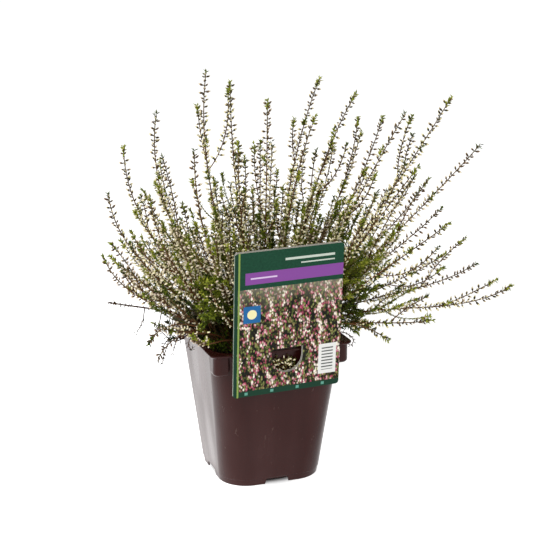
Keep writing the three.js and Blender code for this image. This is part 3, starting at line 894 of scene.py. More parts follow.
# ---- Where the shoots run, by the same rule as the solids ----
class Path:
    """A line of Bezier curves, walked by its length."""

    def __init__(self, *curves):
        self.curves = [np.array(points, float) for points in curves]
        steps = np.linspace(0, 1, ARC_DIVISIONS + 1)
        self.arcs = []
        for points in self.curves:
            gaps = np.linalg.norm(np.diff(bezier(points, steps), axis=0), axis=1)
            self.arcs.append(np.concatenate([[0], np.cumsum(gaps)]))
        self.ends = np.cumsum([arc[-1] for arc in self.arcs])
        self.length = self.ends[-1]

    def points(self, shares):
        walked = np.atleast_1d(shares) * self.length
        which = np.minimum(np.searchsorted(self.ends, walked), len(self.curves) - 1)
        made = np.empty((len(walked), 3))
        steps = np.linspace(0, 1, ARC_DIVISIONS + 1)
        for k, (points, arc) in enumerate(zip(self.curves, self.arcs)):
            on = which == k
            made[on] = bezier(points, np.interp(walked[on] - (self.ends[k] - arc[-1]), arc, steps))
        return made

    def tangents(self, shares):
        shares = np.atleast_1d(shares)
        ahead = self.points(np.minimum(shares + TANGENT_STEP, 1))
        behind = self.points(np.maximum(shares - TANGENT_STEP, 0))
        return (ahead - behind) / np.linalg.norm(ahead - behind, axis=1, keepdims=True)


def bezier(points, steps):
    """Points of a line, quadratic or cubic Bezier curve."""
    level = [np.repeat(point[None], len(steps), axis=0) for point in points]
    while len(level) > 1:
        level = [a + (b - a) * steps[:, None] for a, b in zip(level, level[1:])]
    return level[0]


class Draws:
    """The same stream of random numbers as the solids are drawn from."""

    def __init__(self, seed):
        self.state = seed

    def next(self):
        self.state = (self.state + 0x6D2B79F5) & 0xFFFFFFFF
        t = self.state
        t = ((t ^ (t >> 15)) * (t | 1)) & 0xFFFFFFFF
        t ^= (t + (((t ^ (t >> 7)) * (t | 61)) & 0xFFFFFFFF)) & 0xFFFFFFFF
        return (t ^ (t >> 14)) / 4294967296

    def between(self, low, high):
        return low + (high - low) * self.next()


def turned(vector, axis, angle):
    """A vector turned about a unit axis."""
    cross = np.cross(axis, vector)
    along = axis * (axis @ vector) * (1 - math.cos(angle))
    return vector * math.cos(angle) + cross * math.sin(angle) + along


class Shoot:
    """A shoot's path and where its buds begin."""

    def __init__(self, path, buds_from):
        self.path = path
        self.buds_from = buds_from
        self.branches = []

    def samples(self, start):
        """Places along the shoot with the radius taken up at each, as rows of x, y, z, radius."""
        count = math.ceil((self.path.length - start) / SAMPLE_STEP)
        at = start + (self.path.length - start) * np.arange(count + 1) / count
        places = self.path.points(np.minimum(at / self.path.length, 1))
        return np.column_stack([places, np.where(at < self.buds_from, STEM_RADIUS, BUD_REACH)])


def stem_path(root, tip, leave, aim):
    """Up out of the soil, then over to the tip, with the slopes given for both ends."""
    ground = np.array([root[0], root[1], SOIL_TOP + SOIL_STANDOFF - FOOT_LENGTH])
    start = np.array([root[0], root[1], SOIL_TOP + SOIL_STANDOFF])
    out = unit(np.array([tip[0] - root[0], tip[1] - root[1], 0.0]))
    length = np.linalg.norm(tip - start)

    def along(slope, distance):
        level = out * math.cos(math.radians(slope)) * distance
        return level + np.array([0, 0, math.sin(math.radians(slope)) * distance])

    climb = max(tip[2] - start[2], 0)
    steepest = (CLIMB_SHARE * climb + LEVEL_RISE) / math.sin(math.radians(leave))
    rise = min(max(RISE_SHARE * length, LEAST_RISE), steepest)
    bends = [start, start + along(leave, rise), tip - along(aim, AIM_SHARE * length), tip]
    return Path([ground, start], bends)


def branch_path(stem, at, turn, length, angle=BRANCH_ANGLE, upturn=BRANCH_UPTURN):
    """A branch that leaves a stem to one side and then turns up."""
    share = at / stem.path.length
    start = stem.path.points(share)[0]
    along = stem.path.tangents(share)[0]
    side = np.cross([0, 0, 1.0], along)
    side = np.array([1.0, 0, 0]) if np.linalg.norm(side) < 0.05 else unit(side)
    side = turned(side, along, turn)
    leave = along * math.cos(angle) + side * math.sin(angle)
    bend = start + leave * BRANCH_OUTWARD * length
    upward = unit(along + np.array([0, 0, upturn]))
    return Path([start, bend, bend + upward * (1 - BRANCH_OUTWARD) * length])


def hits_holder(samples):
    """Whether any sample meets the pot's rim or the card."""
    x, y, z, radius = samples.T
    keep = radius + HOLDER_CLEARANCE
    reach = np.maximum(abs(x), abs(y))
    over_wall = (reach > BODY_TOP_SIDE / 2 - WALL - keep) & (reach < RIM_SIDE / 2 + keep)
    hits_rim = over_wall & (z < POT_HEIGHT + keep)
    card_top = CARD_PLACE[2] + CARD_HEIGHT - CARD_BELOW_HINGE
    card_back = CARD_PLACE[1] - CARD_LEAN * (z - CARD_PLACE[2]) + CARD_FOLD_RADIUS
    over_card = abs(x - CARD_PLACE[0]) < CARD_WIDTH / 2 + keep
    hits_card = over_card & (z > POT_HEIGHT) & (z < card_top + keep) & (y < card_back + keep)
    return (hits_rim | hits_card).any()


def is_clear(samples, taken):
    """Whether samples keep clear of the pot, of the card and of what stands there already."""
    if hits_holder(samples):
        return False
    apart = np.linalg.norm(samples[:, None, :3] - taken[None, :, :3], axis=2)
    return not (apart < samples[:, None, 3] + taken[None, :, 3] + CLEARANCE).any()


def spread_roots(stems):
    """Pushes roots that stand too close together apart, a little at a time."""
    for _ in range(ROOT_ROUNDS):
        for one in stems:
            for other in stems:
                gap = np.linalg.norm(one["root"] - other["root"])
                if one is not other and gap < ROOT_SPACING:
                    push = (one["root"] - other["root"]) * (0.5 * (ROOT_SPACING - gap)) / max(gap, 0.1)
                    one["root"] = one["root"] + push
                    other["root"] = other["root"] - push
        for stem in stems:
            length = np.linalg.norm(stem["root"])
            stem["root"] = stem["root"] * min(1, ROOT_LIMIT / length)


def plan(x, y, z, leave, aim):
    """A stem's tip, slopes and root, which is further out the more the stem leans."""
    lean = math.atan2(math.hypot(x, y), z - SOIL_TOP) / (math.pi / 2)
    root = unit(np.array([x, y, 0.0])) * ROOT_LIMIT * min(1, lean**ROOT_CROWDING)
    return {"root": root, "tip": np.array([x, y, z], float), "leave": leave, "aim": aim}


def grow(row):
    """The shoot of a planned stem."""
    path = stem_path(row["root"], row["tip"], row["leave"], row["aim"])
    return Shoot(path, BUD_START * path.length)


def lay_out():
    """Every stem with its branches, and the dry twig, where the solids have them."""
    draws = Draws(SEED)
    rows = [plan(*row) for row in LONG_STEMS]
    twig_row = plan(*DRY_TWIG)
    spread_roots([*rows, twig_row])
    stems = [grow(row) for row in rows]
    twig = grow(twig_row)
    taken = np.vstack([stem.samples(0) for stem in [*stems, twig]])
    for _ in range(FILL_STEMS):
        for _ in range(FILL_TRIES):
            bearing = math.radians(draws.between(-FILL_BEARING, FILL_BEARING))
            reach = draws.between(*FILL_REACH)
            share = (reach - FILL_REACH[0]) / (FILL_REACH[1] - FILL_REACH[0])
            height = mix(*FILL_HEIGHT, share) + draws.between(-FILL_UNEVEN, FILL_UNEVEN)
            aim = draws.between(*FILL_AIM)
            stem = grow(plan(reach * math.cos(bearing), reach * math.sin(bearing), height, FILL_LEAVE, aim))
            if is_clear(stem.samples(0), taken):
                stems.append(stem)
                taken = np.vstack([taken, stem.samples(0)])
                break
    for stem in stems:
        for _ in range(math.floor(stem.path.length / LENGTH_PER_BRANCH)):
            for _ in range(BRANCH_TRIES):
                at = stem.path.length * draws.between(*BRANCH_PLACE)
                turn = draws.between(0, 2 * math.pi)
                reach = min(draws.between(*BRANCH_LENGTH), BRANCH_PAST_TIP * (stem.path.length - at))
                branch = Shoot(branch_path(stem, at, turn, reach), BRANCH_BARE)
                if is_clear(branch.samples(BRANCH_APART), taken):
                    stem.branches.append(branch)
                    taken = np.vstack([taken, branch.samples(0)])
                    break
    return stems, twig


# ---- Finer growth ----
BARK_SLOT, BUD_SLOT, LEAF_SLOT = range(3)


def frames_along(path, shares):
    """Places on a path with their tangent and two directions across it."""
    places, along = path.points(shares), path.tangents(shares)
    chord = path.points(1)[0] - path.points(0)[0]
    across = np.cross([0, 0, 1.0], chord)
    across = across - along * (along @ across)[:, None]
    across /= np.linalg.norm(across, axis=1, keepdims=True)
    return places, along, across, np.cross(along, across)


def aimed(direction, up, size):
    """Turns that lay a shape's Z along each direction, with its Y leaning from up, scaled."""
    side = np.cross(direction, up)
    side /= np.linalg.norm(side, axis=1, keepdims=True)
    back = np.cross(direction, side)
    return np.stack([side, back, direction], axis=2) * size[:, None, None]


def leave_stem(path, shares, bearings, leans):
    """Where small things leave a stem, the way it runs there, and the ways that they point."""
    places, along, across, other = frames_along(path, shares)
    out = across * np.cos(bearings)[:, None] + other * np.sin(bearings)[:, None]
    direction = along * np.cos(leans)[:, None] + out * np.sin(leans)[:, None]
    return places, along, direction


def daylight(places):
    """The light at each place: little by the soil, full above and beyond the thick of the plant."""
    low, high = SHADE_LEVEL
    near, far = SHADE_REACH
    above = np.clip((places[:, 2] - low) / (high - low), 0, 1)
    beyond = np.clip((np.hypot(places[:, 0], places[:, 1]) - near) / (far - near), 0, 1)
    return np.maximum(above, beyond)


def in_mouth(places):
    """Which places are in or just over the front of the pot's mouth, left of the card's right edge."""
    x, y, z = places.T
    over_pot = np.maximum(abs(x), abs(y)) < RIM_SIDE / 2 + MOUTH_PAST_RIM
    return (z < POT_HEIGHT + MOUTH_MARGIN) & (y < MOUTH_FRONT) & (x < CARD_WIDTH / 2) & over_pot


class Growth:
    """One stem's finer piece: wood as tubes, then the buds and leaves on it."""

    def __init__(self, rng, dry=0.0, outside=False):
        self.rng = rng
        self.dry = dry
        self.outside = outside
        self.rosy = rng.choice(ROSY_SHARES) + DRY_ROSIER * dry
        self.golden = rng.uniform(*GOLDEN) - DRY_DULLER * dry
        self.gather = Gather()
        self.tubes = bpy.data.curves.new("tubes", "CURVE")
        self.tubes.dimensions = "3D"
        self.tubes.bevel_depth = 1
        self.tubes.bevel_resolution = 1
        self.ages = []

    def light(self, places):
        return np.ones(len(places)) if self.outside else daylight(places)

    def wood(self, path, thick, thin, old, young):
        """A tapering tube along a path, with the bark's age at its foot and at its tip, 0 the oldest."""
        shares = np.linspace(0, 1, max(4, round(path.length / TUBE_STEP)))
        line = self.tubes.splines.new("POLY")
        line.points.add(len(shares) - 1)
        line.points.foreach_set("co", np.column_stack([path.points(shares), shares * 0 + 1]).ravel())
        radii = mix(thick, thin, shares**TAPER)
        radii[-1] = 0.05
        line.points.foreach_set("radius", radii)
        self.ages.append(mix(old, young, shares))

    def set_on(self, shape, slot, path, shares, bearings, leans, sizes, tints, darkest=1, shift=0.0):
        """Copies of a shape on a path. Tints fall to a darkest share where there is no light, as painted
        shade.
        """
        places, along, direction = leave_stem(path, shares, bearings, leans)
        tints = np.clip(tints * mix(darkest, 1, self.light(places)), 0, 1)
        self.gather.stamp(shape, aimed(direction, along, sizes), places, slot, tints, shift)

    def leaves(self, path, start, stop, pair_step, tint, size=(0.8, 1.2), lean=(0.35, 0.75)):
        """Scale leaves in crossed pairs."""
        rng = self.rng
        count = max(2, round((stop - start) * path.length / pair_step))
        shares = np.repeat(np.linspace(start, stop, count), 2)
        order = np.arange(len(shares))
        bearings = (order // 2) * (math.pi / 2 + LEAF_PAIR_TWIST) + (order % 2) * math.pi
        bearings = bearings + rng.uniform(-LEAF_SCATTER, LEAF_SCATTER, len(order))
        leans = rng.uniform(*lean, len(order))
        sizes = rng.uniform(*size, len(order))
        tints = tint(shares) + rng.normal(0, LEAF_TINT_SPREAD, len(order))
        self.set_on(LEAF, LEAF_SLOT, path, shares, bearings, leans, sizes, tints, LEAF_SHADE)

    def buds(self, path, start, rosy, youth=1.0):
        """Buds in crossed pairs to just under the tip, further apart there, each over a bract.

        The youngest are at the tip: small, and still in their green cups.
        """
        rng = self.rng
        from_tip = [TUFT_LENGTH * 0.5]
        while from_tip[-1] < (1 - start) * path.length:
            step = mix(PAIR_STEP_AT_TIP, PAIR_STEP_BELOW, min(from_tip[-1] / CLOSER_BELOW, 1))
            from_tip.append(from_tip[-1] + step)
        down = np.repeat(np.array(from_tip[:-1]), 2)
        order = np.arange(len(down))
        bearings = (order // 2) * (math.pi / 2 + BUD_PAIR_TWIST) + (order % 2) * math.pi
        bearings = bearings + rng.uniform(-BUD_SCATTER, BUD_SCATTER, len(order))
        down = down + rng.uniform(-BUD_SLIDE, BUD_SLIDE, len(order))
        places = path.points(np.clip(1 - down / path.length, 0, 1))
        chance = mix(LEAST_BUDS, MOST_BUDS, self.light(places)) * (self.outside | ~in_mouth(places))
        keep = rng.random(len(order)) < chance
        down, bearings = down[keep], bearings[keep]
        count = len(down)
        shares = np.clip(1 - down / path.length, 0.001, 0.999)
        grown = np.clip(down / SMALL_BUDS, 0, 1)
        young = np.maximum(youth * (1 - np.clip(down / YOUNG_BUDS, 0, 1)), self.dry)
        leans = rng.normal(*BUD_LEAN, count)
        sizes = rng.uniform(*BUD_SIZE, count) * mix(TIP_BUD_SIZE, 1, grown)
        tints = rng.normal(rosy, BUD_TINT_SPREAD, count) + YOUNG_ROSE * young
        shift = YOUNG_SHIFT * young + rng.uniform(-0.06, 0.06, count)
        self.set_on(BUD, BUD_SLOT, path, shares, bearings, leans, sizes, tints, shift=shift)
        bearings = bearings + rng.uniform(-BRACT_SCATTER, BRACT_SCATTER, count)
        tints = rng.normal(*BRACT_TINT, count) - YOUNG_BRACT_DARKER * young + 0.1 * (1 - grown)
        sizes = rng.uniform(*BRACT_SIZE, count) * mix(TIP_BRACT_SIZE, 1, grown)
        self.set_on(LEAF, LEAF_SLOT, path, shares, bearings, leans * BRACT_LEAN_SHARE, sizes, tints)

    def tuft(self, path, tint, fullness=1.0):
        """The cluster of young leaves at a growing tip."""
        rng = self.rng
        count = round(TUFT_LEAVES * fullness)
        shares = 1 - rng.uniform(0, TUFT_LENGTH * (0.5 + 0.5 * fullness), count) / path.length
        shares = np.clip(shares, 0, 0.999)
        bearings = rng.uniform(0, 2 * math.pi, count)
        leans = rng.uniform(*TUFT_LEAN, count)
        sizes = rng.uniform(*TUFT_LEAF_SIZE, count)
        tints = rng.normal(tint - DRY_DARKER * self.dry, TUFT_TINT_SPREAD, count)
        self.set_on(LEAF, LEAF_SLOT, path, shares, bearings, leans, sizes, tints, TUFT_SHADE)

    def tip(self, path):
        """A full tuft on most shoots, and only a few leaves on the rest."""
        self.tuft(path, **(FULL_TUFT if self.rng.random() < FULL_TUFTS else SPARSE_TUFT))

    def raceme(self, path, start, youth):
        """A budded shoot: its wood, its buds and its tip."""
        self.wood(path, SHOOT_THICKNESS, TIP_THICKNESS, old=0.5, young=1.0)
        self.buds(path, start, self.rosy + self.rng.uniform(*ROSY_UNEVEN), youth)
        self.tip(path)

    def leafy(self, path, tint):
        """A short green shoot with no buds."""
        self.wood(path, thick=0.4, thin=0.2, old=0.6, young=1.0)
        self.leaves(path, 0.04, 0.97, LEAF_PAIR_STEP, lambda shares: tint + PALER_AT_TIP * shares)
        self.tuft(path, tint + PALER_TUFT)

    def finish(self, name, slot="heather_foliage", replaces=()):
        """Makes one piece of the wood, the buds and the leaves."""
        holder = bpy.data.objects.new("tubes", self.tubes)
        made = bpy.data.meshes.new_from_object(holder)
        ages = np.concatenate(self.ages)
        sides = len(made.vertices) // len(ages)
        points = read(made.vertices, "co", 3)
        sizes = read(made.polygons, "loop_total", 1, np.int32)
        corners = read(made.loops, "vertex_index", 1, np.int32)
        self.gather.add(points, corners, sizes, BARK_SLOT, np.repeat(ages, sides), np.zeros(len(points)))
        bpy.data.objects.remove(holder)
        bpy.data.curves.remove(self.tubes)
        bpy.data.meshes.remove(made)
        mesh = self.gather.mesh(name)
        make_piece(name, mesh, BARK, BUD_SKIN, LEAF_SKIN, slot=slot, replaces=replaces)


def side_shoots(growth, stem, spacing, place, lengths, angles, grow_shoot, chance):
    """Shoots beyond the solids' own, spaced up a stem by the turn of a growing tip."""
    rng = growth.rng
    length = stem.path.length
    count = round((place[1] - place[0]) * length / spacing)
    bearing = rng.uniform(0, 2 * math.pi)
    for k in range(count):
        share = mix(*place, (k + rng.uniform(0.1, 0.9)) / count)
        bearing += SPIRAL_TURN + rng.uniform(-SPIRAL_UNEVEN, SPIRAL_UNEVEN)
        rest = (1 - share) * length
        reach = min(rng.uniform(*lengths), SIDE_SHARE_OF_REST * rest + SIDE_PAST_TIP)
        angle = rng.uniform(*angles)
        path = branch_path(stem, share * length, bearing, reach, angle, rng.uniform(*SIDE_UPTURN))
        samples = Shoot(path, BRANCH_BARE).samples(SIDE_APART)
        if rng.random() < chance and not hits_holder(samples) and not in_mouth(samples[:, :3]).any():
            grow_shoot(path, share)


def make_stem(number, stem, rng):
    growth = Growth(rng, DRYNESS.get(number, 0.0))
    low, high = FORKING_HEIGHT
    tip = stem.path.points(1)[0]
    forking = 1 if number in FULLER_STEMS else min(max((tip[2] - low) / (high - low), 0), 1)
    fullness = np.interp(tip[0], *FULLNESS)
    growth.wood(stem.path, ROOT_THICKNESS, TIP_THICKNESS, old=0.0, young=1.0)
    growth.leaves(
        stem.path, start=0.1, stop=BUD_START, pair_step=BARE_STEM_LEAF_STEP,
        tint=lambda shares: mix(*BARE_STEM_LEAF_TINT, shares),
    )
    growth.buds(stem.path, BUD_START * 0.9, growth.rosy)
    growth.tip(stem.path)
    for branch in stem.branches:
        growth.raceme(branch.path, BRANCH_BARE / branch.path.length, YOUTH_OF_SIDES)

    def budded(path, share):
        growth.raceme(path, 0.1, YOUTH_OF_SIDES * (share > SIDE_SHOOTS["upper"]["place"][0]))

    def green(path, share):
        growth.leafy(path, mix(*LEAFY_TINT, share) + growth.golden + rng.uniform(-LEAFY_UNEVEN, LEAFY_UNEVEN))

    def spur(path, share):
        growth.tuft(path, rng.uniform(*SPUR_TINT))

    for kind, grow_shoot, chance in (
        ("upper", budded, forking * fullness),
        ("lower", budded, mix(LOWER_SHOOTS_LEAST, 1, forking) * fullness),
        ("middle", budded, mix(MIDDLE_SHOOTS_LEAST, 1, forking) * fullness),
        ("leafy", green, 1),
        ("spur", spur, 1),
    ):
        side_shoots(growth, stem, **SIDE_SHOOTS[kind], grow_shoot=grow_shoot, chance=chance)
    growth.finish(f"budded_stem_{number:02d}", replaces=[f"heather_stem_{number:02d}"])


def make_twig(twig, rng):
    """The dry twig, with withered leaves on its outer part."""
    growth = Growth(rng, dry=1.0)
    growth.wood(twig.path, ROOT_THICKNESS, thin=0.55, old=0.1, young=0.05)
    withered = dict(tint=lambda shares: 0 * shares)
    growth.leaves(twig.path, start=0.45, stop=0.8, pair_step=4, size=(0.8, 1.4), lean=(0.5, 1.2), **withered)
    growth.leaves(twig.path, start=0.8, stop=0.96, pair_step=1.5, size=(1.0, 1.8), lean=(0.4, 1.1), **withered)
    growth.finish("dry_twig_wood", "heather_wood", ["dry_twig"])


def grow_if_clear(growth, curve, tint):
    """A leafy shoot, unless it would meet the card or the rim, or hang into the pot's open mouth."""
    path = Path(curve)
    samples = Shoot(path, BRANCH_BARE).samples(SIDE_APART)
    if not hits_holder(samples) and not in_mouth(samples[4:, :3]).any():
        growth.leafy(path, tint)


def outward(bearing):
    return np.array([math.cos(bearing), math.sin(bearing), 0])


def make_inner_shoots(rng):
    """Short leafy shoots that close the middle of the plant, greener towards its right side."""
    growth = Growth(rng)
    for _ in range(INNER_SHOOTS):
        out = outward(rng.uniform(0, 2 * math.pi))
        share = math.sqrt(rng.random())
        foot = out * INNER_RADIUS * share + [0, 0, SOIL_TOP]
        height = rng.uniform(*INNER_HEIGHT) * mix(1, INNER_LOWER_OUTSIDE, share)
        spread = out * height * rng.uniform(*INNER_SPREAD) * share
        bend = foot + spread * BEND_OUT + [0, 0, height * BEND_UP]
        greener = min(max((foot[0] - INNER_TINT_FROM) / INNER_TINT_OVER, 0), 1)
        tint = mix(*INNER_TINT, greener) + rng.uniform(-0.12, 0.12)
        grow_if_clear(growth, [foot, bend, foot + spread + [0, 0, height]], tint)
    growth.finish("inner_shoots")


# Bushes of fresh shoots beside the card: how many, the bearings of their feet and how far out these are,
# how far out they bend over, the box that their tips end in, and their tints.
FRESH_BUSHES = [
    dict(
        count=240, bearings=(-0.9, 0.6), reach=(0.4, 1.0), bend_share=0.35,
        low=(47, -58, 107), high=(80, 6, 176), tints=(0.22, 0.8),
    ),
    dict(
        count=40, bearings=(2.2, 4.0), reach=(0.1, 0.7), bend_share=0.12,
        low=(-60, -48, 127), high=(-37, -14, 164), tints=(0.24, 0.7),
    ),
]


def make_fresh_shoots(rng):
    """Bushes of fresh leafy shoots that arch over the rim beside the card's edges."""
    growth = Growth(rng)
    for bush in FRESH_BUSHES:
        for _ in range(bush["count"]):
            out = outward(rng.uniform(*bush["bearings"]))
            foot = out * INNER_RADIUS * rng.uniform(*bush["reach"]) + [0, 0, SOIL_TOP]
            tip = rng.uniform(bush["low"], bush["high"])
            bend = mix(foot, tip, bush["bend_share"])
            bend[2] = max(mix(foot[2], tip[2], BEND_UP), SOIL_TOP + ARCH_OVER_RIM)
            grow_if_clear(growth, [foot, bend, tip], rng.uniform(*bush["tints"]))
    growth.finish("fresh_shoots")


def make_basal_shoots(rng):
    """Fresh green shoots that come up through the soil behind the card's left edge."""
    growth = Growth(rng)
    for _ in range(BASAL_SHOOTS):
        x, y = rng.uniform(*BASAL_X), rng.uniform(*BASAL_Y)
        foot = np.array([x, y, soil_level(x, y) - 1])
        lean = np.array([*rng.uniform(-BASAL_LEAN, BASAL_LEAN, 2), 0])
        height = rng.uniform(*BASAL_HEIGHT)
        bend = foot + lean * 0.3 + [0, 0, height * BEND_UP]
        path = Path([foot, bend, foot + lean + [0, 0, height]])
        growth.leafy(path, rng.uniform(*BASAL_TINT))
    growth.finish("basal_shoots")


# Dry bits that hang over the rim, as listed points: each with its thickness at the start.
DRY_SPRIGS = [
    (0.9, [
        (-30, -20, 104), (-48, -22, 118), (-60, -25, 121), (-65, -25, 113), (-62, -25, 107), (-58, -24, 111),
    ]),
    (0.8, [(38, -40, 104), (46, -43, 117), (54, -45, 115), (60, -46, 109), (56, -47, 104), (53, -47, 107)]),
    (0.75, [
        (-36, 6, 103), (-50, 2, 116), (-60, 0, 110), (-66, 0, 107), (-72, 0, 110), (-78, 0, 118),
        (-83, 2, 121),
    ]),
    (0.45, [(-82, 30, 127), (-83, 30, 121), (-84, 30, 115), (-90, 29, 107)]),
    (0.45, [(-70, 25, 125), (-71, 26, 119), (-73, 26, 110), (-81, 25, 98)]),
    (0.45, [(-62, 22, 123), (-62, 22, 116), (-65, 21, 105), (-69, 20, 95), (-73, 19, 83)]),
    (0.45, [(-58, 0, 113), (-66, -4, 113), (-69, -5, 105), (-71, -5, 99)]),
    (0.45, [(-72, 0, 110), (-77, -6, 110), (-79, -8, 104), (-78, -9, 98)]),
]

# Broken tips with buds, caught between the card and the pot's wall.
CAUGHT_TWIGS = [
    [(-14, -52.0, 92), (-6, -52.2, 97), (2, -52.2, 98), (10, -52.3, 103)],
    [(-10, -52.1, 90), (-7, -52.3, 95), (-5, -52.2, 100), (-5, -52.3, 106)],
    [(-6, -52.1, 88), (1, -52.3, 93), (4, -52.3, 99), (4, -52.4, 106)],
    [(0, -52.1, 89), (6, -52.3, 94), (9, -52.2, 97), (10, -52.3, 102)],
    [(-13, -52.2, 96), (-8, -52.5, 101), (-1, -52.5, 102), (7, -52.6, 104)],
]


def through(points):
    """A path of quadratic curves that run smoothly past the middles between points."""
    points = [np.array(point, float) for point in points]
    joints = [points[0], *[(a + b) / 2 for a, b in zip(points[1:-2], points[2:-1])], points[-1]]
    return Path(*zip(joints, points[1:-1], joints[1:]))


def make_dry_sprigs(rng):
    growth = Growth(rng, dry=1.0)
    for thickness, points in DRY_SPRIGS:
        path = through(points)
        growth.wood(path, thickness, thin=0.3, old=0.0, young=0.2)
        growth.leaves(
            path, start=0.35, stop=0.93, pair_step=2.3, tint=lambda shares: 0.15 * shares,
            size=(0.8, 1.5), lean=(0.5, 1.2),
        )
    growth.finish("dry_sprigs", "heather_wood")


def make_caught_twigs(rng):
    growth = Growth(rng, outside=True)
    for points in CAUGHT_TWIGS:
        path = through(points)
        growth.wood(path, thick=0.5, thin=0.3, old=0.4, young=0.9)
        growth.leaves(
            path, start=0.1, stop=0.95, pair_step=2.0, tint=lambda shares: 0.5 + 0 * shares,
            size=(0.7, 1.0), lean=(0.3, 0.6),
        )
        growth.buds(path, 0.05, rosy=0.1, youth=0.0)
    growth.finish("caught_twigs")


# ---- Crumbs on the soil ----
def make_crumbs(rng):
    """Loose crumbs of peat and a few pale grains on the soil."""
    bm = bmesh.new()
    bmesh.ops.create_icosphere(bm, subdivisions=1, radius=1)
    for vert in bm.verts:
        vert.co *= 1 + CRUMB_ROUGHNESS * noise.noise(vert.co * CRUMB_BUMP_SCALE)
    lump = Shape(bm)
    half = BODY_TOP_SIDE / 2 - WALL - CRUMB_EDGE
    for name, material, kind in (("soil_crumbs", EARTH, CRUMBS), ("soil_grit", grit_finish(), GRIT)):
        count = kind["count"]
        spots = rng.uniform(-half, half, (count, 2))
        heights = [soil_level(x, y) + CRUMB_LIFT for x, y in spots]
        size = rng.uniform(*kind["sizes"], count) ** SMALLER_CRUMBS
        turns = np.stack([random_turn(rng) for _ in range(count)]) * size[:, None, None]
        gather = Gather()
        gather.stamp(lump, turns, np.column_stack([spots, heights]), 0, rng.random(count))
        make_piece(name, gather.mesh(name), material, slot="peat_soil")


def random_turn(rng):
    """A random rotation, squashed along two axes."""
    axes, _ = np.linalg.qr(rng.normal(size=(3, 3)))
    axes[:, 0] *= np.sign(np.linalg.det(axes))
    return axes @ np.diag([1, rng.uniform(*CRUMB_DEPTH), rng.uniform(*CRUMB_THICKNESS)])


# ---- Card ----
def on_card(finish):
    """The place on the card's print: as it is, and in millimetres across from the fold and up."""
    place = finish.place("UV")
    across, up, _ = finish.axes(place)
    return place, across * CARD_WIDTH, up * CARD_HEIGHT


def small_blooms(finish, flat, x, z):
    """A bed of tiny blooms in leaning spikes: slim cells, each of one colour from leaf to petal."""
    warp = finish.noise(0.07, 2, flat)
    spike = ((x + z * 0.2 + warp * 22) * 0.085).fract() - 0.5
    on_spike = (spike.size() * -2.2 + 0.62) * 0.55
    patch = finish.noise(0.05, 2, flat) - 0.5
    slim = finish.stretch(flat, (0.84, 0.54, 0))
    depth = finish.cells(0.9, slim, Randomness=1.0)
    pick, tone, _ = finish.axes(finish.cells(0.9, slim, "Color", Randomness=1.0))
    stops = [
        (0.08, (20, 20, 8)),
        (0.26, (72, 84, 32)),
        (0.44, (150, 154, 90)),
        (0.55, (116, 56, 50)),
        (0.66, (192, 76, 112)),
        (0.78, (224, 176, 176)),
        (0.92, (250, 240, 222)),
    ]
    blooms = finish.ramp(pick * 0.9 + on_spike + patch * 0.8 - 0.02, stops)
    shadow = finish.ramp(depth * 0.8 + tone * 0.2, [(0.42, (255, 255, 255)), (0.74, (58, 48, 40))])
    haze = finish.rise(z + patch * 30, 66, 88) * 0.45
    return finish.blend(haze, finish.blend(1.0, blooms, shadow, "MULTIPLY"), srgb(164, 160, 138))


def printed_front():
    """A plant card's face: a green head, a purple band, a bed of small blooms and plain panels."""
    finish = Finish(
        "card_front", Roughness=0.4, Specular_IOR_Level=0.12, Coat_Weight=0.05, Coat_Roughness=0.15,
    )
    place, x, z = on_card(finish)
    flat = finish.stretch(place, (CARD_WIDTH, CARD_HEIGHT, 0))
    green = finish.ramp(finish.noise(0.6, 2, flat), [(0.3, (11, 59, 40)), (0.7, (18, 70, 48))])
    foot = z < 4.5
    stripes = (z * 0.4).fract() < 0.4
    spots = ((x * 0.05).fract() - 0.5).size() < 0.06
    # What is printed over the blooms, in turn: where, in millimetres from the fold and up, and its colour.
    areas = {
        "head": (z > 84, green),
        "band": (z.within(87.5, 96.5) * (x > 8), srgb(132, 72, 152)),
        "long_rule": (z.within(103.2, 105.0) * x.within(38, 76), srgb(196, 206, 194)),
        "short_rule": (z.within(99.8, 100.8) * x.within(50, 76), srgb(196, 206, 194)),
        "band_rule": (z.within(91.4, 92.6) * x.within(12, 32), srgb(216, 194, 226)),
        "blue_square": (z.within(58, 71) * x.within(7, 20), srgb(30, 100, 158)),
        "sun": ((x - 13.5).squared() + (z - 64.5).squared() < 13, srgb(240, 234, 180)),
        "panel": (z.within(10, 34) * x.within(66, 80), srgb(232, 232, 228)),
        "ruled_lines": (z.within(13, 31) * x.within(68.5, 77.5) * stripes, srgb(88, 90, 88)),
        "foot": (foot, srgb(14, 56, 38)),
        "dots": (foot * z.within(1.2, 3.4) * spots, srgb(96, 160, 142)),
        "fold": (x < 2.6, srgb(12, 54, 36)),
        "beside_fold": (x.within(2.7, 4.0), srgb(136, 160, 78)),
        # A pale line along the very edge of the fold.
        "pale_fold_edge": (x < 0.16, srgb(150, 160, 146)),
    }
    sheet = small_blooms(finish, flat, x, z)
    for area, colour in areas.values():
        sheet = finish.blend(area, sheet, colour)
    finish.feed("Base Color", sheet)
    finish.bump(finish.noise(2.5, 2, flat), 0.04, 0.0003)
    return finish.material


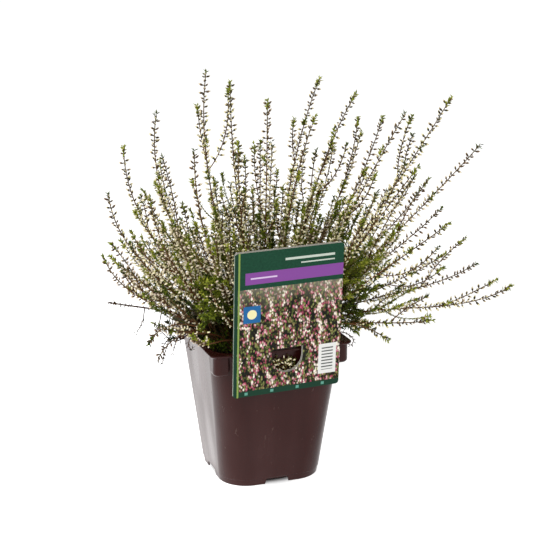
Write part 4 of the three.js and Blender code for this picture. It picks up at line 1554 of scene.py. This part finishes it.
def printed_back():
    """The card's back: the same green, with rows of plain pale lines."""
    finish = Finish("card_back", Roughness=0.35, Coat_Weight=0.25, Coat_Roughness=0.15)
    _, x, z = on_card(finish)
    paper = finish.ramp(finish.noise(900, 2), [(0.3, (232, 234, 224)), (0.7, (242, 243, 236))])
    row = (z * 0.2).whole()
    ends = finish.noise(0.21, 0, finish.add("ShaderNodeCombineXYZ", sockets={1: row}))
    rows = ((z * 0.2).fract() < 0.22) * z.within(14, 88) * (x > 9) * (x < ends * 60 + 34)
    sheet = finish.blend(z > 96, paper, srgb(26, 70, 50))
    sheet = finish.blend(rows, sheet, srgb(120, 132, 118))
    sheet = finish.blend(z < 6, sheet, srgb(150, 186, 60))
    finish.feed("Base Color", sheet)
    finish.bump(finish.noise(1800, 2), 0.04, 0.0003)
    return finish.material


def card_paper():
    """The white core that shows on the cut edges and inside the fold."""
    finish = Finish("card_paper", Roughness=0.7)
    fibres = finish.noise(2400, 3)
    finish.feed("Base Color", finish.ramp(fibres, [(0.3, (176, 172, 162)), (0.7, (198, 194, 184))]))
    finish.bump(fibres, 0.2, 0.0001)
    return finish.material


def make_card():
    """The folded card on its own solid's shape, with its print laid out from the fold."""
    bm = bmesh.new()
    bm.from_mesh(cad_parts["label_card"].data)
    bmesh.ops.remove_doubles(bm, verts=bm.verts, dist=1e-6)
    bmesh.ops.dissolve_limit(bm, angle_limit=0.01, verts=bm.verts, edges=bm.edges)
    turn = Matrix.Rotation(CARD_TURN, 4, "Z") @ Matrix.Rotation(CARD_LEAN, 4, "X")
    turn = turn @ Matrix.Rotation(CARD_ROLL, 4, "Y")
    stand = Matrix.Translation(Vector(in_frame(CARD_PLACE))) @ turn @ Matrix.Scale(MM, 4)
    back_to_flat = stand.inverted()
    prints = bm.loops.layers.uv.new("print")
    for face in bm.faces:
        corners = [back_to_flat @ vert.co for vert in face.verts]
        facing = (back_to_flat.to_3x3() @ face.normal).normalized()
        face.material_index = card_side(sum(corners, Vector()) / len(corners), facing)
        for loop, corner in zip(face.loops, corners):
            across = (corner.x + CARD_WIDTH / 2) / CARD_WIDTH
            loop[prints].uv = (across, (corner.z + CARD_BELOW_HINGE) / CARD_HEIGHT)
    mesh = settle(bm, "plant_card")
    smooth(mesh, SMOOTH_CARD)
    papers = [printed_front(), printed_back(), card_paper()]
    make_piece("plant_card", mesh, *papers, slot="printed_card", replaces=["label_card"])


def card_side(middle, facing):
    """Which paper a face of the card shows: 0 the print, 1 the back's print, 2 the bare core."""
    fold = -CARD_WIDTH / 2 + CARD_FOLD_RADIUS
    outer = CARD_FOLD_RADIUS - CARD_SKIN < abs(middle.y) < CARD_FOLD_RADIUS + CARD_OVER
    outside = math.hypot(middle.x - fold, middle.y) > CARD_FOLD_RADIUS - CARD_FOLD_SKIN
    at_fold = middle.x < fold and abs(facing.z) < 0.5 and outside
    if facing.y < -0.7 and outer or at_fold:
        return 0
    return 1 if facing.y > 0.7 and outer else 2


# ---- Camera, light and floor ----
CAMERA_YAW = 0.3454
CAMERA_PITCH = 0.2707
CAMERA_DISTANCE = 1057.03
CAMERA_ASIDE = 13.0
CAMERA_LEVEL = 152.08
CAMERA_LENS = 91.0
CAMERA_SENSOR = 36
ROOM_LIGHT = 0.27

# The soft lights: name, place in metres, side and power. All face the plant's middle.
LIGHTS = [("overhead_light", (-0.2, -0.1, 1.6), 1.8, 14), ("key_light", (-1.0, -1.2, 1.1), 0.9, 12)]
LIGHT_AIM = Vector((0, 0, 0.14))

# The floor's glow, and where its parts come in or fade out: first by the distance from the pot's axis,
# then along Y, then along X, in metres.
FLOOR_SIZE = 14
FLOOR_GLOW = 0.58
FLOOR_GLOW_BEHIND = 1.42
FLOOR_GLOW_FAR = 0.8
FLOOR_GLOW_SHADE = 0.4
CLEAR_OF_POT = (0.033, 0.046)
FAR_OFF = (0.42, 0.7)
BESIDE_POT = (0.17, 0.07)
BEHIND_POT = (-0.13, -0.01)
BACK_OF_POT = (-0.05, -0.01)
LEFT_OF_POT = (0.02, -0.06)


def make_camera():
    forward = np.array([
        math.cos(CAMERA_PITCH) * math.sin(CAMERA_YAW),
        math.cos(CAMERA_PITCH) * math.cos(CAMERA_YAW),
        -math.sin(CAMERA_PITCH),
    ])
    right = np.array([math.cos(CAMERA_YAW), -math.sin(CAMERA_YAW), 0])
    target = right * CAMERA_ASIDE + np.array([0, 0, CAMERA_LEVEL])
    data = bpy.data.cameras.new("camera")
    data.lens = CAMERA_LENS
    data.sensor_width = CAMERA_SENSOR
    data.clip_start = 0.05
    data.clip_end = 60
    camera = put("camera", data)
    camera.location = in_frame(target - forward * CAMERA_DISTANCE)
    camera.rotation_euler = Vector(forward).to_track_quat("-Z", "Y").to_euler()
    bpy.context.scene.camera = camera


def softbox(name, place, side, power):
    data = bpy.data.lights.new(name, "AREA")
    data.shape = "SQUARE"
    data.size = side
    data.energy = power
    light = put(name, data)
    light.location = place
    light.rotation_euler = (LIGHT_AIM - light.location).to_track_quat("-Z", "Y").to_euler()


def glow_for_camera(world):
    """The room is dim, but looks white where it is seen."""
    room = Nodes(world.node_tree, "World Output")
    white = (1, 1, 1, 1)
    dim = room.add("ShaderNodeBackground", sockets={"Color": white, "Strength": ROOM_LIGHT})
    seen = room.add("ShaderNodeBackground", sockets={"Color": white})
    ray = room.add("ShaderNodeLightPath", output="Is Camera Ray")
    room.feed("Surface", room.add("ShaderNodeMixShader", sockets={0: ray, 1: dim, 2: seen}))


def floor_finish():
    """A white floor that glows a little, most behind the pot's left side, and not at all under it."""
    finish = Finish("pale_floor", Roughness=0.6, Base_Color=(0.85, 0.85, 0.85, 1), Emission_Strength=1)
    x, y, _ = finish.axes(finish.place())
    away = (x - AXIS[0]).squared() + (y - AXIS[1]).squared()
    clear, far, beside = [
        finish.rise(away, start**2, stop**2) for start, stop in (CLEAR_OF_POT, FAR_OFF, BESIDE_POT)
    ]
    behind = finish.rise(y, *BEHIND_POT)
    back = finish.rise(y, *BACK_OF_POT)
    left = finish.rise(x, *LEFT_OF_POT)
    bright = behind * left * (FLOOR_GLOW_BEHIND - FLOOR_GLOW)
    near_glow = bright + back * beside * FLOOR_GLOW_SHADE + FLOOR_GLOW
    glow = clear * near_glow.at_least(behind * far * FLOOR_GLOW_FAR)
    finish.feed("Emission Color", finish.add("ShaderNodeCombineXYZ", sockets={0: glow, 1: glow, 2: glow}))
    return finish.material


def make_studio():
    scene = bpy.context.scene
    scene.view_settings.view_transform = "Standard"
    world = bpy.data.worlds.new("studio")
    world.use_nodes = True
    glow_for_camera(world)
    scene.world = world
    for light in LIGHTS:
        softbox(*light)
    bm = bmesh.new()
    bmesh.ops.create_grid(bm, x_segments=1, y_segments=1, size=FLOOR_SIZE)
    floor = put("floor", settle(bm, "floor"))
    floor.data.materials.append(floor_finish())


# ---- The whole object ----
BUD = bud_shape()
LEAF = leaf_shape()
EARTH = peat_soil()
BARK = bark()
BUD_SKIN = bud_skin()
LEAF_SKIN = leaf_skin()

make_pot()
make_soil()
make_crumbs(np.random.default_rng(GROWTH_SEED))
make_card()
stems, twig = lay_out()
for number, stem in enumerate(stems, 1):
    make_stem(number, stem, np.random.default_rng([GROWTH_SEED, number]))
make_twig(twig, np.random.default_rng([GROWTH_SEED, 0]))
for make_shoots, stream in (
    (make_inner_shoots, 99),
    (make_fresh_shoots, 103),
    (make_basal_shoots, 100),
    (make_dry_sprigs, 101),
    (make_caught_twigs, 102),
):
    make_shoots(np.random.default_rng([GROWTH_SEED, stream]))
make_camera()
make_studio()
